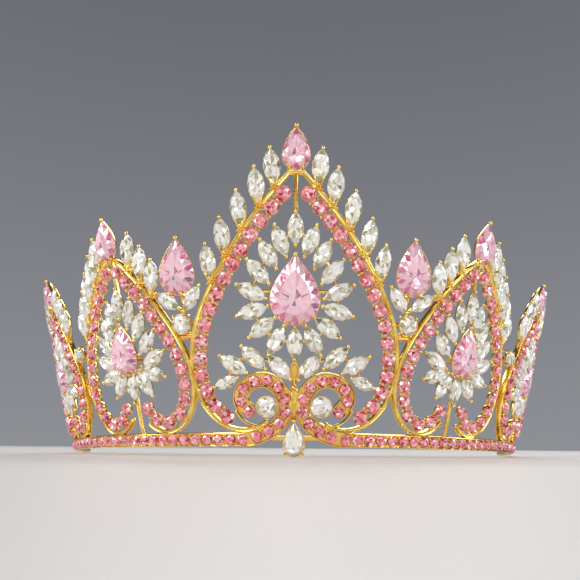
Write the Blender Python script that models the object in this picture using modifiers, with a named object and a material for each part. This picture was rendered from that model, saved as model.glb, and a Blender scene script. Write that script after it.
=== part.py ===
"""Five-arched tiara: a soldered gilt frame set with pink and clear cut stones.

Sizes are in millimetres and degrees, and become metres where a mesh is made. The metal lies
on a cone that stands on the band and leans outwards. A place on it has three numbers: the
angle round the band (0 in front, positive to the wearer's left), the height up the slope
from the band's lower edge, and how far it stands out from the cone.
"""
import math
from collections import namedtuple

import bmesh
import bpy
import numpy as np
from mathutils import Matrix, Vector

MM = 0.001

# The band and the cone that everything lies on
BAND_RADIUS = 80.0
BAND_HEIGHT = 3.7
BAND_THICKNESS = 1.6
BAND_HALF_ANGLE = 86.0
BAND_STEPS = 36
END_TAB_LENGTH = 8.0
# Between the scrolls the band narrows to a bar behind the pendant
BAND_FULL_FROM = 9.6
BAND_NARROWING = 4.7
FRONT_BAR_LOW = 1.6
FRONT_BAR_HIGH = 2.8
LEAN = 14.0
FRONT_RAISED = 1.95
RING_CENTRE_Y = 48.401

# Wires and strips of the soldered frame
RAIL_RADIUS = 0.65
THIN_WIRE_RADIUS = 0.45
RAIL_STEP = 5.6
RAIL_SIDES = 4
RAIL_FROM_STONES = 3.32
SCROLL_WIDTH = 4.1
SCROLL_THICKNESS = 1.4
SCROLL_STEPS = 17
PLATE_THICKNESS = 0.8
PLATE_SCALE = 0.8

# Stones
GAP = 0.3
GIRDLE_OUT = 0.7
PINK_FLAT_RADIUS = 1.9
PINK_CROWN = 0.9
ROW_WIDTH = 4.2
ROW_THICKNESS = 1.0
ROW_OUT = 0.8
ROW_PAST_END = 1.5
STONE_SUNK = 0.3
MARQUISE_LENGTH = 8.0
MARQUISE_WIDTH = 4.0
MARQUISE_CROWN = 1.0
MARQUISE_DEPTH = 1.5
PEAR_CROWN = 1.5
PEAR_DEPTH = 1.3
ROUND_CROWN = 1.1
ROUND_DEPTH = 0.9
WIRE_OUT = 0.15
BACK_WIRE_OUT = -1.3
AXIS_WIRE_OUT = -0.1
CROSS_END_OUT = -0.4
PAST_JOINT = 0.7
PATH_WIRE_TURN = 27.0
CREST_RISE = 5.6
CREST_LEAN = 6.0

# Half of the widest arch: the line that its small pink stones follow, from the apex down the
# side, round the lobe and up to the cusp, as distance across from the arch's own axis and
# height. Other arches take it scaled.
LINE_BASE = 6.0
ARCH_LINE = (
    (2.7, 66.9),
    (10.0, 56.5),
    (16.5, 45.2),
    (20.9, 36.0),
    (23.0, 28.6),
    (23.6, 21.0),
    (22.4, 15.0),
    (20.2, 10.9),
    (17.0, 8.0),
    (13.4, 7.1),
    (10.0, 7.9),
    (6.6, 10.8),
    (4.6, 16.0),
)
ARCH_APEX = 72.9
APEX_HALF_WIDTH = 1.9
LINE_SAMPLES = 240

# fan: how far the arch's axis leans away from the front over AXIS_SPAN of height.
# rail_end, pinks_begin and pinks_end: the share of the line that the rail and the pinks follow.
# near and far: heights on the rail where the crest stones stand.
Arch = namedtuple("Arch", "name centre fan width height pinks pinks_begin pinks_end rail_end near far")
AXIS_SPAN = 60.0
CENTRE_ARCH = Arch(
    "centre", 0.0, 0.0, 1.015, 1.0, 16, 0.0, 0.79, 0.90,
    (68.4, 63.7, 57.9, 51.2, 44.5), (68.4, 63.7, 57.9, 51.2, 44.5))
SIDE_ARCH = Arch(
    "side", 32.1, 3.1, 0.72, 0.73, 15, 0.03, 0.95, 0.93,
    (50.4, 46.2, 42.0), (51.2, 47.0, 42.4, 37.4, 32.4))
OUTER_ARCH = Arch(
    "outer", 62.0, 0.0, 0.61, 0.62, 13, 0.045, 0.93, 0.92,
    (43.2, 39.0, 34.6), (43.2, 39.0))

# Petals of one half of each flower, measured from the arch's axis and the flower's middle.
# lean: how far the petal's outer tip is turned from straight up towards the side.
Petal = namedtuple("Petal", "across up lean")
CENTRE_PETALS = (
    Petal(0.0, 16.1, 0.0),
    Petal(3.4, 12.9, 21.0),
    Petal(6.2, 9.4, 29.0),
    Petal(8.6, 5.0, 41.0),
    Petal(10.3, -0.2, 64.0),
    Petal(10.2, -5.4, 106.0),
    Petal(7.9, -9.8, 126.0),
    Petal(4.5, -13.3, 152.0),
    Petal(0.0, -14.0, 180.0),
)
SIDE_PETALS = (
    Petal(0.0, 13.4, 0.0),
    Petal(3.2, 10.2, 14.0),
    Petal(5.6, 6.2, 28.0),
    Petal(7.4, 1.5, 42.0),
    Petal(8.6, -3.2, 64.0),
    Petal(7.8, -7.4, 106.0),
    Petal(4.4, -10.0, 146.0),
    Petal(0.0, -11.0, 180.0),
)
OUTER_PETALS = (
    Petal(0.0, 10.8, 0.0),
    Petal(3.3, 7.4, 18.0),
    Petal(5.4, 3.4, 36.0),
    Petal(6.9, -1.0, 66.0),
    Petal(6.4, -5.2, 106.0),
    Petal(3.6, -7.8, 146.0),
    Petal(0.0, -8.8, 180.0),
)

# Pear-cut stones that stand on an arch's axis
Pear = namedtuple("Pear", "width length up")
Flower = namedtuple("Flower", "petals petal_length petal_width pear top_pear")
FLOWERS = {
    "centre": Flower(CENTRE_PETALS, 8.0, 4.0, Pear(13.0, 18.0, 41.8), Pear(7.3, 10.7, 79.25)),
    "side": Flower(SIDE_PETALS, 6.8, 3.6, Pear(10.0, 13.4, 28.4), Pear(8.0, 11.4, 61.5)),
    "outer": Flower(OUTER_PETALS, 5.6, 3.2, Pear(8.0, 10.8, 24.6), Pear(6.4, 9.2, 53.1)),
}

# Leaves between the centre flower and the scrolls
Leaf = namedtuple("Leaf", "across up lean length width")
LEAVES = (
    Leaf(3.7, 21.4, 42.0, 8.0, 4.0),
    Leaf(10.2, 24.1, 47.0, 8.0, 4.0),
    Leaf(15.4, 22.3, 57.0, 8.0, 4.0),
    Leaf(17.5, 17.4, 110.0, 5.6, 3.8),
)
LEAF_WIRE_START = 19.0

# Stem with a pear, two marquises and a round, between the centre and the side arches
STEM_ANGLE = 20.4
STEM_PEAR = Pear(10.1, 14.0, 49.6)
STEM_PEAR_LEAN = -4.0
STEM_TOP = 46.5
STEM_FOOT = 30.5
STEM_ROUND_UP = 33.8
STEM_ROUND_DIAMETER = 4.8
STEM_MARQUISES = (Leaf(-3.3, 40.6, -38.0, 7.6, 4.0), Leaf(3.3, 40.4, 56.0, 7.6, 4.0))

# Round on a cross wire between the side and the outer arches
GAP_ROUND_ANGLE = 49.4
GAP_ROUND_UP = 29.4
GAP_ROUND_DIAMETER = 4.8

# Scrolls: a spiral strip that leaves the band and ends beside a round clear stone
SCROLL_ACROSS = 8.05
SCROLL_UP = 12.4
SCROLL_RADIUS = 5.9
SCROLL_START = -70.0
SCROLL_FLARE_END = -185.0
SCROLL_FLARE = 4.2
SCROLL_CURL_START = -350.0
SCROLL_END = -402.0
SCROLL_CURL = 1.5
SCROLL_ROUND_ACROSS = 6.9
SCROLL_ROUND_UP = 11.0
SCROLL_ROUND_OUT = 1.95
SCROLL_ROUND_DIAMETER = 5.6
SCROLL_WIRE_OUT = -0.2
STEM_BAR_FOOT = 2.0

# Pendant in front of the band's middle, which stands on the floor
PENDANT_WIDTH = 6.0
PENDANT_LENGTH = 9.9
PENDANT_OUT = 3.1
PENDANT_DEPTH = 1.2

GOLD = ("gold", (0.83, 0.56, 0.17), 1.0, 0.25)
PINK = ("pink_stone", (0.90, 0.36, 0.40), 0.0, 0.08)
PALE_PINK = ("pale_pink_stone", (0.95, 0.62, 0.66), 0.0, 0.05)
CLEAR = ("clear_stone", (0.88, 0.90, 0.86), 0.0, 0.05)


def clear_scene():
    """Remove every object of the scene."""
    for obj in list(bpy.data.objects):
        bpy.data.objects.remove(obj, do_unlink=True)


def tilted(x, y, z):
    """World place of a point given with the band lying level, after its front is raised."""
    tilt = math.radians(FRONT_RAISED)
    turned_y = y * math.cos(tilt) + z * math.sin(tilt)
    turned_z = z * math.cos(tilt) - y * math.sin(tilt)
    return Vector((x, turned_y + RING_CENTRE_Y, turned_z + band_lift()))


def band_lift():
    """Height that brings the lowest corner of the band's ends down to the floor."""
    end = math.radians(BAND_HALF_ANGLE)
    reach = END_TAB_LENGTH * math.sin(end) - BAND_RADIUS * math.cos(end)
    return reach * math.sin(math.radians(FRONT_RAISED)) + BAND_THICKNESS / 2 * math.sin(math.radians(LEAN))


def on_cone(angle, up, out=0.0):
    """World place for an angle, a height up the slope and a distance out of the cone."""
    turn = math.radians(angle)
    lean = math.radians(LEAN)
    radius = BAND_RADIUS + up * math.sin(lean) + out * math.cos(lean)
    return tilted(
        radius * math.sin(turn), -radius * math.cos(turn), up * math.cos(lean) - out * math.sin(lean))


def seat(angle, up, out=0.0, lean=0.0):
    """Matrix of a stone's seat: Z stands out of the cone, Y is up, turned by lean clockwise."""
    here = on_cone(angle, up, out)
    step = 0.01
    upward = (on_cone(angle, up + step, out) - here).normalized()
    outward = (on_cone(angle, up, out + step) - here).normalized()
    across = upward.cross(outward).normalized()
    turn = math.radians(lean)
    length = upward * math.cos(turn) + across * math.sin(turn)
    width = length.cross(outward)
    matrix = Matrix((width, length, outward)).transposed().to_4x4()
    matrix.translation = here
    return matrix


def arch_angle(arch, across, up):
    """Angle round the band of a point given from an arch's own axis."""
    return arch.centre + arch.fan * up / AXIS_SPAN + math.degrees(across / BAND_RADIUS)


def arch_height(arch, up):
    """Height on a scaled arch of a height on the widest arch."""
    return LINE_BASE + (up - LINE_BASE) * arch.height


def smooth_line(points, samples):
    """Catmull-Rom curve through the points, as rows of evenly stepped samples."""
    knots = np.array(points, float)
    knots = np.vstack([2 * knots[0] - knots[1], knots, 2 * knots[-1] - knots[-2]])
    steps = np.linspace(0, len(points) - 1, samples)
    index = np.minimum(steps.astype(int), len(points) - 2)
    t = (steps - index)[:, None]
    a, b, c, d = (knots[index + i] for i in range(4))
    return 0.5 * (2 * b + (c - a) * t + (2 * a - 5 * b + 4 * c - d) * t**2 + (3 * b - a - 3 * c + d) * t**3)


def arch_line(arch):
    """Angle and height samples of the line that one half of the arch's pink stones follow."""
    line = smooth_line(ARCH_LINE, LINE_SAMPLES)
    return [(across * arch.width, arch_height(arch, up)) for across, up in line]


def shares_of(points):
    """Share of the whole length at each point of a line of world places."""
    lengths = [0.0]
    for here, after in zip(points, points[1:]):
        lengths.append(lengths[-1] + (after - here).length)
    return np.array(lengths) / lengths[-1], lengths[-1]


def spread(samples, shares, wanted):
    """Across and height at the wanted shares of a line's length."""
    across, up = np.array(samples).T
    return list(zip(np.interp(wanted, shares, across).tolist(), np.interp(wanted, shares, up).tolist()))


def half_places(arch, side, count, end, begin=0.0):
    """Evenly spaced places along one half of an arch's line, as angle and height."""
    samples = arch_line(arch)
    shares, _ = shares_of([on_cone(arch_angle(arch, a, u), u) for a, u in samples])
    places = spread(samples, shares, np.linspace(begin, end, count))
    return [(arch_angle(arch, side * a, u), u) for a, u in places]


def round_outline(radius, corners):
    """Corners of a regular outline with a flat side towards its neighbours in the row."""
    half = math.pi / corners
    corner = radius / math.cos(half)
    turns = [half + 2 * half * i for i in range(corners)]
    return [(corner * math.cos(turn), corner * math.sin(turn)) for turn in turns]


def marquise_outline(length, width):
    """Eight corners of a boat shape whose width falls off with the square of the length."""
    right = [(width / 2 * (1 - t * t), length / 2 * t) for t in (-0.5, 0.0, 0.5)]
    left = [(-x, y) for x, y in reversed(right)]
    return [(0.0, -length / 2)] + right + [(0.0, length / 2)] + left


def pear_outline(width, length, corners=12):
    """Corners of a teardrop, sine of t times sine of half t wide, with its point upwards."""
    widest = 0.77
    angles = [2 * math.pi * i / corners for i in range(corners)]
    return [
        (width / 2 * math.sin(t) * abs(math.sin(t / 2)) / widest, length / 2 * math.cos(t)) for t in angles]


def scaled_ring(outline, scale, height, every=1):
    """Every so many corners of an outline, scaled about its middle and lifted."""
    return [(x * scale, y * scale, height) for x, y in outline[::every]]


def hull_mesh(name, points, matrix):
    """Convex solid round local points, placed by a matrix."""
    bm = bmesh.new()
    for point in points:
        bm.verts.new(matrix @ Vector(point) * MM)
    made = bmesh.ops.convex_hull(bm, input=bm.verts)
    spare = {v for v in made["geom_interior"] + made["geom_unused"] if isinstance(v, bmesh.types.BMVert)}
    bmesh.ops.delete(bm, geom=list(spare), context="VERTS")
    bmesh.ops.recalc_face_normals(bm, faces=bm.faces)
    mesh = bpy.data.meshes.new(name)
    bm.to_mesh(mesh)
    bm.free()
    return mesh


def small_stone(name, outline, crown, depth, matrix, foot=None):
    """Cut stone with a four-sided table, a ring of crown facets and a pointed or flat back.

    foot is a further point below it, which makes a stem that reaches down to the rail.
    """
    points = scaled_ring(outline, 1.0, 0.0) + scaled_ring(outline, 0.58, crown, every=2)
    if depth:
        points.append((0.0, 0.0, -depth))
    if foot:
        points.append(foot)
    return hull_mesh(name, points, matrix)


def large_stone(name, outline, crown, depth, matrix):
    """Cut stone with a table of half as many sides as its girdle and a cut-off back."""
    points = scaled_ring(outline, 1.0, 0.0) + scaled_ring(outline, 0.6, crown, every=2)
    points += scaled_ring(outline, 0.62, -depth, every=2)
    return hull_mesh(name, points, matrix)


def joined(name, meshes):
    """One mesh that holds all the given meshes."""
    bm = bmesh.new()
    for mesh in meshes:
        bm.from_mesh(mesh)
        bpy.data.meshes.remove(mesh)
    mesh = bpy.data.meshes.new(name)
    bm.to_mesh(mesh)
    bm.free()
    return mesh


def wire_mesh(name, points, radius, sides, closed=False, turn=0.0):
    """Wire through world places, made as a curve and turned into a closed mesh.

    turn rolls its few-sided section, so that no ridge lies along another wire's ridge.
    """
    curve = bpy.data.curves.new(name, "CURVE")
    curve.dimensions = "3D"
    curve.bevel_depth = radius * MM
    curve.bevel_resolution = sides // 2 - 2
    curve.use_fill_caps = True
    spline = curve.splines.new("POLY")
    spline.points.add(len(points) - 1)
    for knot, point in zip(spline.points, points):
        knot.co = (*(point * MM), 1.0)
        knot.tilt = math.radians(turn)
    spline.use_cyclic_u = closed
    return baked_mesh(name, curve)


def baked_mesh(name, data, dress=None):
    """Closed mesh of an object's evaluated form, with its caps welded."""
    obj = bpy.data.objects.new(name, data)
    bpy.context.scene.collection.objects.link(obj)
    if dress:
        dress(obj)
    graph = bpy.context.evaluated_depsgraph_get()
    mesh = bpy.data.meshes.new_from_object(obj.evaluated_get(graph))
    bpy.data.objects.remove(obj, do_unlink=True)
    bm = bmesh.new()
    bm.from_mesh(mesh)
    bmesh.ops.remove_doubles(bm, verts=bm.verts, dist=0.00002)
    bmesh.ops.recalc_face_normals(bm, faces=bm.faces)
    bm.to_mesh(mesh)
    bm.free()
    return mesh


def strip_mesh(name, rows, thickness):
    """Flat strip between two rows of world places, thickened with Solidify."""
    verts = [point * MM for pair in rows for point in pair]
    faces = [(2 * i, 2 * i + 1, 2 * i + 3, 2 * i + 2) for i in range(len(rows) - 1)]
    mesh = bpy.data.meshes.new(name)
    mesh.from_pydata(verts, [], faces)

    def thicken(obj):
        solidify = obj.modifiers.new("Thickness", "SOLIDIFY")
        solidify.thickness = thickness * MM
        solidify.offset = 0.0
        solidify.use_even_offset = True

    return baked_mesh(name, mesh, thicken)


def united(name, base, others):
    """Object of the base mesh with each of the other meshes united to it in turn."""
    obj = bpy.data.objects.new(name, base)
    parts.objects.link(obj)
    for index, mesh in enumerate(others):
        tool = bpy.data.objects.new(f"{name}_add_{index}", mesh)
        tool.hide_render = True
        tool.display_type = "WIRE"
        cutters.objects.link(tool)
        union = obj.modifiers.new(f"Unite {index}", "BOOLEAN")
        union.operation = "UNION"
        union.solver = "EXACT"
        union.object = tool
    return obj


def single(name, mesh):
    """Object that holds one finished mesh."""
    obj = bpy.data.objects.new(name, mesh)
    parts.objects.link(obj)
    return obj


def painted(obj, finish):
    """Give an object its own material of a finish."""
    slot, colour, metallic, roughness = finish
    material = bpy.data.materials.new(f"{obj.name}_{slot}")
    material.use_nodes = True
    shader = material.node_tree.nodes["Principled BSDF"]
    shader.inputs["Base Color"].default_value = (*colour, 1.0)
    shader.inputs["Metallic"].default_value = metallic
    shader.inputs["Roughness"].default_value = roughness
    material.diffuse_color = (*colour, 1.0)
    obj.data.materials.clear()
    obj.data.materials.append(material)
    return obj


def arches():
    """Each arch with its side: -1 to the left of the picture, 1 to the right, 0 in the middle."""
    yield CENTRE_ARCH, 0
    for side in (-1, 1):
        yield mirrored(SIDE_ARCH, side), side
        yield mirrored(OUTER_ARCH, side), side


def mirrored(arch, side):
    """The arch on one side of the front, its axis turned with it."""
    return arch._replace(centre=side * arch.centre, fan=side * arch.fan)


def piece_name(arch, side, what):
    """Plain node name of a piece of an arch."""
    ending = {0: "", -1: "_left", 1: "_right"}[side]
    return f"{arch.name}_{what}{ending}"


def along_line(arch, side, places):
    """World place, direction along the line and direction away from it at each place."""
    points = [on_cone(angle, up) for angle, up in places]
    result = []
    for index, (angle, up) in enumerate(places):
        along = (points[min(index + 1, len(points) - 1)] - points[max(index - 1, 0)]).normalized()
        outward = seat(angle, up).col[2].to_3d()
        result.append((points[index], along, along.cross(outward).normalized() * -side, outward))
    return result


def rail_half(arch, side):
    """World places of one half of an arch's rail, evenly spaced outside its pink stones."""
    places = half_places(arch, side, LINE_SAMPLES, arch.rail_end)
    line = [here + away * RAIL_FROM_STONES for here, _, away, _ in along_line(arch, side, places)]
    shares, length = shares_of(line)
    wanted = np.linspace(0.0, 1.0, round(length / RAIL_STEP))
    columns = [np.interp(wanted, shares, column) for column in np.array(line).T]
    return [Vector(place) for place in zip(*columns)]


def rail_mesh(arch):
    """The arch's rail: one wire up one side, over the apex and down the other."""
    apex = arch_height(arch, ARCH_APEX)
    top = [
        on_cone(arch_angle(arch, side * APEX_HALF_WIDTH * arch.width, apex), apex) for side in (-1, 1)]
    left = rail_half(arch, -1)
    right = rail_half(arch, 1)
    return wire_mesh("rail", left[::-1] + top + right, RAIL_RADIUS, RAIL_SIDES)


def rail_foot(arch, side, up):
    """Angle of the rail's outer edge at a height, found on the offset line."""
    across = []
    for point in rail_half(arch, side)[:-2]:
        across.append(cone_place(point))
    heights = np.array([place[1] for place in across])
    angles = np.array([place[0] for place in across])
    order = np.argsort(heights)
    return float(np.interp(up, heights[order], angles[order]))


def cone_place(point):
    """Angle and height of a world place on the cone, the inverse of on_cone."""
    tilt = math.radians(FRONT_RAISED)
    y = point.y - RING_CENTRE_Y
    z = point.z - band_lift()
    level_y = y * math.cos(tilt) - z * math.sin(tilt)
    level_z = y * math.sin(tilt) + z * math.cos(tilt)
    return math.degrees(math.atan2(point.x, -level_y)), level_z / math.cos(math.radians(LEAN))


def crest_meshes(arch, side):
    """Marquises that stand on the rail of one half of an arch, each with a foot in the rail."""
    outline = marquise_outline(MARQUISE_LENGTH, MARQUISE_WIDTH)
    outside = arch.centre == 0 or side * arch.centre > 0
    made = []
    for up in arch.far if outside else arch.near:
        angle = rail_foot(arch, side, up)
        lean = side * CREST_LEAN
        across = math.degrees(math.sin(math.radians(lean)) * CREST_RISE / BAND_RADIUS)
        matrix = seat(angle + across, up + CREST_RISE, GIRDLE_OUT, lean)
        foot = (0.0, -CREST_RISE, -GIRDLE_OUT)
        made.append(small_stone("crest", outline, MARQUISE_CROWN, MARQUISE_DEPTH, matrix, foot))
    return made


def flower_places(arch):
    """Seat of every petal of an arch's flower, in order round it."""
    flower = FLOWERS[arch.name]
    right = [(p.across, p.up, p.lean) for p in flower.petals]
    left = [(-p.across, p.up, -p.lean) for p in flower.petals[-2:0:-1]]
    return [(a, flower.pear.up + u, lean) for a, u, lean in right + left]


def petal_meshes(arch):
    """The flower's petals."""
    flower = FLOWERS[arch.name]
    outline = marquise_outline(flower.petal_length, flower.petal_width)
    return [
        small_stone(
            "petal", outline, MARQUISE_CROWN, MARQUISE_DEPTH,
            seat(arch_angle(arch, across, up), up, GIRDLE_OUT, lean))
        for across, up, lean in flower_places(arch)]


def flower_ring(arch):
    """Closed wire behind the petals, from the middle of one to the middle of the next."""
    points = [on_cone(arch_angle(arch, a, u), u, WIRE_OUT) for a, u, _ in flower_places(arch)]
    return wire_mesh("ring", points, THIN_WIRE_RADIUS, 4, closed=True)


def plate_mesh(width, length, matrix):
    """Gold back plate of a pear's setting."""
    outline = pear_outline(width * PLATE_SCALE, length * PLATE_SCALE, 6)
    top = -PEAR_DEPTH - GAP
    points = scaled_ring(outline, 1.0, top) + scaled_ring(outline, 1.0, top - PLATE_THICKNESS)
    return hull_mesh("plate", points, matrix)


def arch_pears(arch):
    """The flower's pear and the pear on the apex: name, width, length and seat."""
    flower = FLOWERS[arch.name]
    for what, pear in (("flower_pear", flower.pear), ("top_pear", flower.top_pear)):
        yield what, pear.width, pear.length, seat(arch_angle(arch, 0, pear.up), pear.up, GIRDLE_OUT)


def stem_seat(side):
    """Seat of the pear on the stem between two arches."""
    return seat(side * STEM_ANGLE, STEM_PEAR.up, GIRDLE_OUT, side * STEM_PEAR_LEAN)


def scroll_point(side, turn, radius):
    """Angle and height of a point of a scroll, from a direction and a radius about its middle."""
    across = SCROLL_ACROSS + radius * math.cos(math.radians(turn))
    up = SCROLL_UP + radius * math.sin(math.radians(turn))
    return side * math.degrees(across / BAND_RADIUS), up


def scroll_radius(turn):
    """Radius of the strip's middle line: wide where it leaves the band, closing at its end."""
    flare = max(0.0, (turn - SCROLL_FLARE_END) / (SCROLL_START - SCROLL_FLARE_END))
    curl = max(0.0, (SCROLL_CURL_START - turn) / (SCROLL_CURL_START - SCROLL_END))
    return SCROLL_RADIUS + SCROLL_FLARE * flare**1.6 - SCROLL_CURL * curl**1.5


def scroll_mesh(side):
    """A scroll's strip."""
    rows = []
    for turn in np.linspace(SCROLL_START, SCROLL_END, SCROLL_STEPS):
        radius = scroll_radius(turn)
        inner = on_cone(*scroll_point(side, turn, radius - SCROLL_WIDTH / 2), GIRDLE_OUT)
        outer = on_cone(*scroll_point(side, turn, radius + SCROLL_WIDTH / 2), GIRDLE_OUT)
        rows.append((inner, outer))
    return strip_mesh("scroll", rows, SCROLL_THICKNESS)


def band_mesh():
    """The band: a strip round the head, narrowed to a bar in front, with a straight tab at each end."""
    angles = np.linspace(-BAND_HALF_ANGLE, BAND_HALF_ANGLE, BAND_STEPS + 1)
    rows = []
    for angle in angles:
        narrowed = min(1.0, max(0.0, (BAND_FULL_FROM - abs(angle)) / BAND_NARROWING))
        low = FRONT_BAR_LOW * narrowed
        high = BAND_HEIGHT + (FRONT_BAR_HIGH - BAND_HEIGHT) * narrowed
        rows.append((on_cone(angle, low), on_cone(angle, high)))
    tabs = []
    for side, (low, high) in ((-1, rows[0]), (1, rows[-1])):
        ahead = seat(side * BAND_HALF_ANGLE, 0.0).col[0].to_3d() * side * END_TAB_LENGTH
        tabs.append((low + ahead, high + ahead))
    return strip_mesh("band", [tabs[0], *rows, tabs[1]], BAND_THICKNESS)


def leaf_meshes(side):
    """Leaves on one side of the flower's foot."""
    return [
        small_stone(
            "leaf", marquise_outline(leaf.length, leaf.width), MARQUISE_CROWN, MARQUISE_DEPTH,
            seat(side * math.degrees(leaf.across / BAND_RADIUS), leaf.up, GIRDLE_OUT, side * leaf.lean))
        for leaf in LEAVES]


def leaf_wire():
    """Wire behind all the leaves, through the foot of the flower."""
    right = [on_cone(math.degrees(leaf.across / BAND_RADIUS), leaf.up, WIRE_OUT) for leaf in LEAVES]
    left = [Vector((-point.x, point.y, point.z)) for point in reversed(right)]
    middle = on_cone(0.0, LEAF_WIRE_START, WIRE_OUT)
    return wire_mesh("leaf_wire", left + [middle] + right, THIN_WIRE_RADIUS, 4)


def stem_angle(side, across):
    """Angle round the band of a point given from the axis of a stem."""
    return side * (STEM_ANGLE + math.degrees(across / BAND_RADIUS))


def stem_stones(side):
    """The two marquises under a stem's pear."""
    return [
        small_stone(
            "stem_leaf", marquise_outline(leaf.length, leaf.width), MARQUISE_CROWN, MARQUISE_DEPTH,
            seat(stem_angle(side, leaf.across), leaf.up, GIRDLE_OUT, side * leaf.lean))
        for leaf in STEM_MARQUISES]


def row_strip(arch, half, count):
    """Strip behind one half of an arch's pink stones, with a joint between every two of them."""
    line = along_line(arch, half, half_places(arch, half, count, arch.pinks_end, arch.pinks_begin))
    first, last = line[0], line[-1]
    places = [(first[0] - first[1] * ROW_PAST_END, first[2], first[3])]
    places += [
        ((one[0] + two[0]) / 2, (one[2] + two[2]).normalized(), (one[3] + two[3]).normalized())
        for one, two in zip(line, line[1:])]
    places.append((last[0] + last[1] * ROW_PAST_END, last[2], last[3]))
    rows = []
    for middle, away, outward in places:
        lifted = middle + outward * ROW_OUT
        rows.append((lifted - away * ROW_WIDTH / 2, lifted + away * ROW_WIDTH / 2))
    return strip_mesh("row", rows, ROW_THICKNESS)


def pink_stones(arch, half):
    """Small pink stones of one half of an arch, sunk a little into the strip that holds them."""
    places = half_places(arch, half, arch.pinks, arch.pinks_end, arch.pinks_begin)
    outline = round_outline(PINK_FLAT_RADIUS, 8)
    stones = []
    for (angle, up), (_, along, _, _) in zip(places, along_line(arch, half, places)):
        matrix = seat(angle, up, ROW_OUT + ROW_THICKNESS / 2 - STONE_SUNK)
        local = matrix.to_3x3().inverted() @ along
        turn = Matrix.Rotation(math.atan2(local.y, local.x), 4, "Z")
        stones.append(small_stone("pink", outline, PINK_CROWN + STONE_SUNK, 0.0, matrix @ turn))
    return joined("pinks", stones)


def pink_row(arch, half, name):
    """One half of an arch's row of pink stones; on the small outer arches the bare strip."""
    if arch.name == "outer":
        return single(name, row_strip(arch, half, arch.pinks))
    return united(name, row_strip(arch, half, arch.pinks), [pink_stones(arch, half)])


def path_wire(places):
    """Thin wire through places that each have an angle, a height and a distance out."""
    return wire_mesh("wire", [on_cone(*place) for place in places], THIN_WIRE_RADIUS, 4, turn=PATH_WIRE_TURN)


def flower_wires(arch):
    """Wires that hold a flower: up to the apex and its pear, down to the foot, and across."""
    flower = FLOWERS[arch.name]
    middle = flower.pear.up
    top = middle + flower.petals[0].up
    bottom = middle + flower.petals[-1].up
    apex = arch_height(arch, ARCH_APEX)
    foot = STEM_BAR_FOOT if arch.name == "centre" else cone_place(rail_half(arch, 1)[-1])[1] - PAST_JOINT
    petal = flower.petals[len(flower.petals) // 2]
    level = middle + petal.up
    under_pear = flower.pear.width / 2 - 2 * PAST_JOINT
    return [
        path_wire([
            (arch_angle(arch, 0, top), top - PAST_JOINT, AXIS_WIRE_OUT),
            (arch_angle(arch, 0, apex), apex - 2 * PAST_JOINT, AXIS_WIRE_OUT),
            (arch_angle(arch, 0, apex), apex + PAST_JOINT, BACK_WIRE_OUT),
            (arch_angle(arch, 0, flower.top_pear.up), flower.top_pear.up, BACK_WIRE_OUT)]),
        path_wire([
            (arch_angle(arch, 0, foot), foot, AXIS_WIRE_OUT),
            (arch_angle(arch, 0, bottom), bottom + PAST_JOINT, AXIS_WIRE_OUT)]),
        path_wire([
            (arch_angle(arch, -petal.across - PAST_JOINT, level), level, AXIS_WIRE_OUT),
            (arch_angle(arch, -under_pear, level), level, BACK_WIRE_OUT),
            (arch_angle(arch, under_pear, level), level, BACK_WIRE_OUT),
            (arch_angle(arch, petal.across + PAST_JOINT, level), level, AXIS_WIRE_OUT)])]


def lobe_tie(arch):
    """Short wire between the two ends of an arch's rail, across its axis."""
    left = rail_half(arch, -1)[-1]
    right = rail_half(arch, 1)[-1]
    past = (right - left).normalized() * PAST_JOINT / 2
    return wire_mesh("tie", [left - past, right + past], THIN_WIRE_RADIUS, 4)


def stem_wire(side):
    """The stem behind a pear between two arches."""
    stem = side * STEM_ANGLE
    return path_wire([(stem, STEM_TOP, BACK_WIRE_OUT), (stem, STEM_FOOT, BACK_WIRE_OUT)])


def stem_leaf_wire(side):
    """Wire that carries the two marquises across the stem."""
    places = [(stem_angle(side, leaf.across), leaf.up, WIRE_OUT) for leaf in STEM_MARQUISES]
    meeting = STEM_MARQUISES[0].up - abs(STEM_MARQUISES[0].across)
    return path_wire([places[0], (side * STEM_ANGLE, meeting, BACK_WIRE_OUT), places[1]])


def cross_wires(side):
    """Wires that join the arches, each behind a round stone."""
    side_arch = mirrored(SIDE_ARCH, side)
    outer_arch = mirrored(OUTER_ARCH, side)
    return [
        path_wire([
            (rail_foot(CENTRE_ARCH, side, STEM_ROUND_UP), STEM_ROUND_UP, CROSS_END_OUT),
            (side * STEM_ANGLE, STEM_ROUND_UP, BACK_WIRE_OUT),
            (rail_foot(side_arch, -side, STEM_ROUND_UP), STEM_ROUND_UP, CROSS_END_OUT)]),
        path_wire([
            (rail_foot(side_arch, side, GAP_ROUND_UP), GAP_ROUND_UP, CROSS_END_OUT),
            (side * GAP_ROUND_ANGLE, GAP_ROUND_UP, BACK_WIRE_OUT),
            (rail_foot(outer_arch, -side, GAP_ROUND_UP), GAP_ROUND_UP, CROSS_END_OUT)])]


def scroll_wire(side):
    """Wire across the back of a scroll's hole, behind its round stone."""
    ends = [scroll_point(side, turn, SCROLL_RADIUS) for turn in (-180.0, 0.0)]
    return path_wire([(*end, SCROLL_WIRE_OUT) for end in ends])


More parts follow.
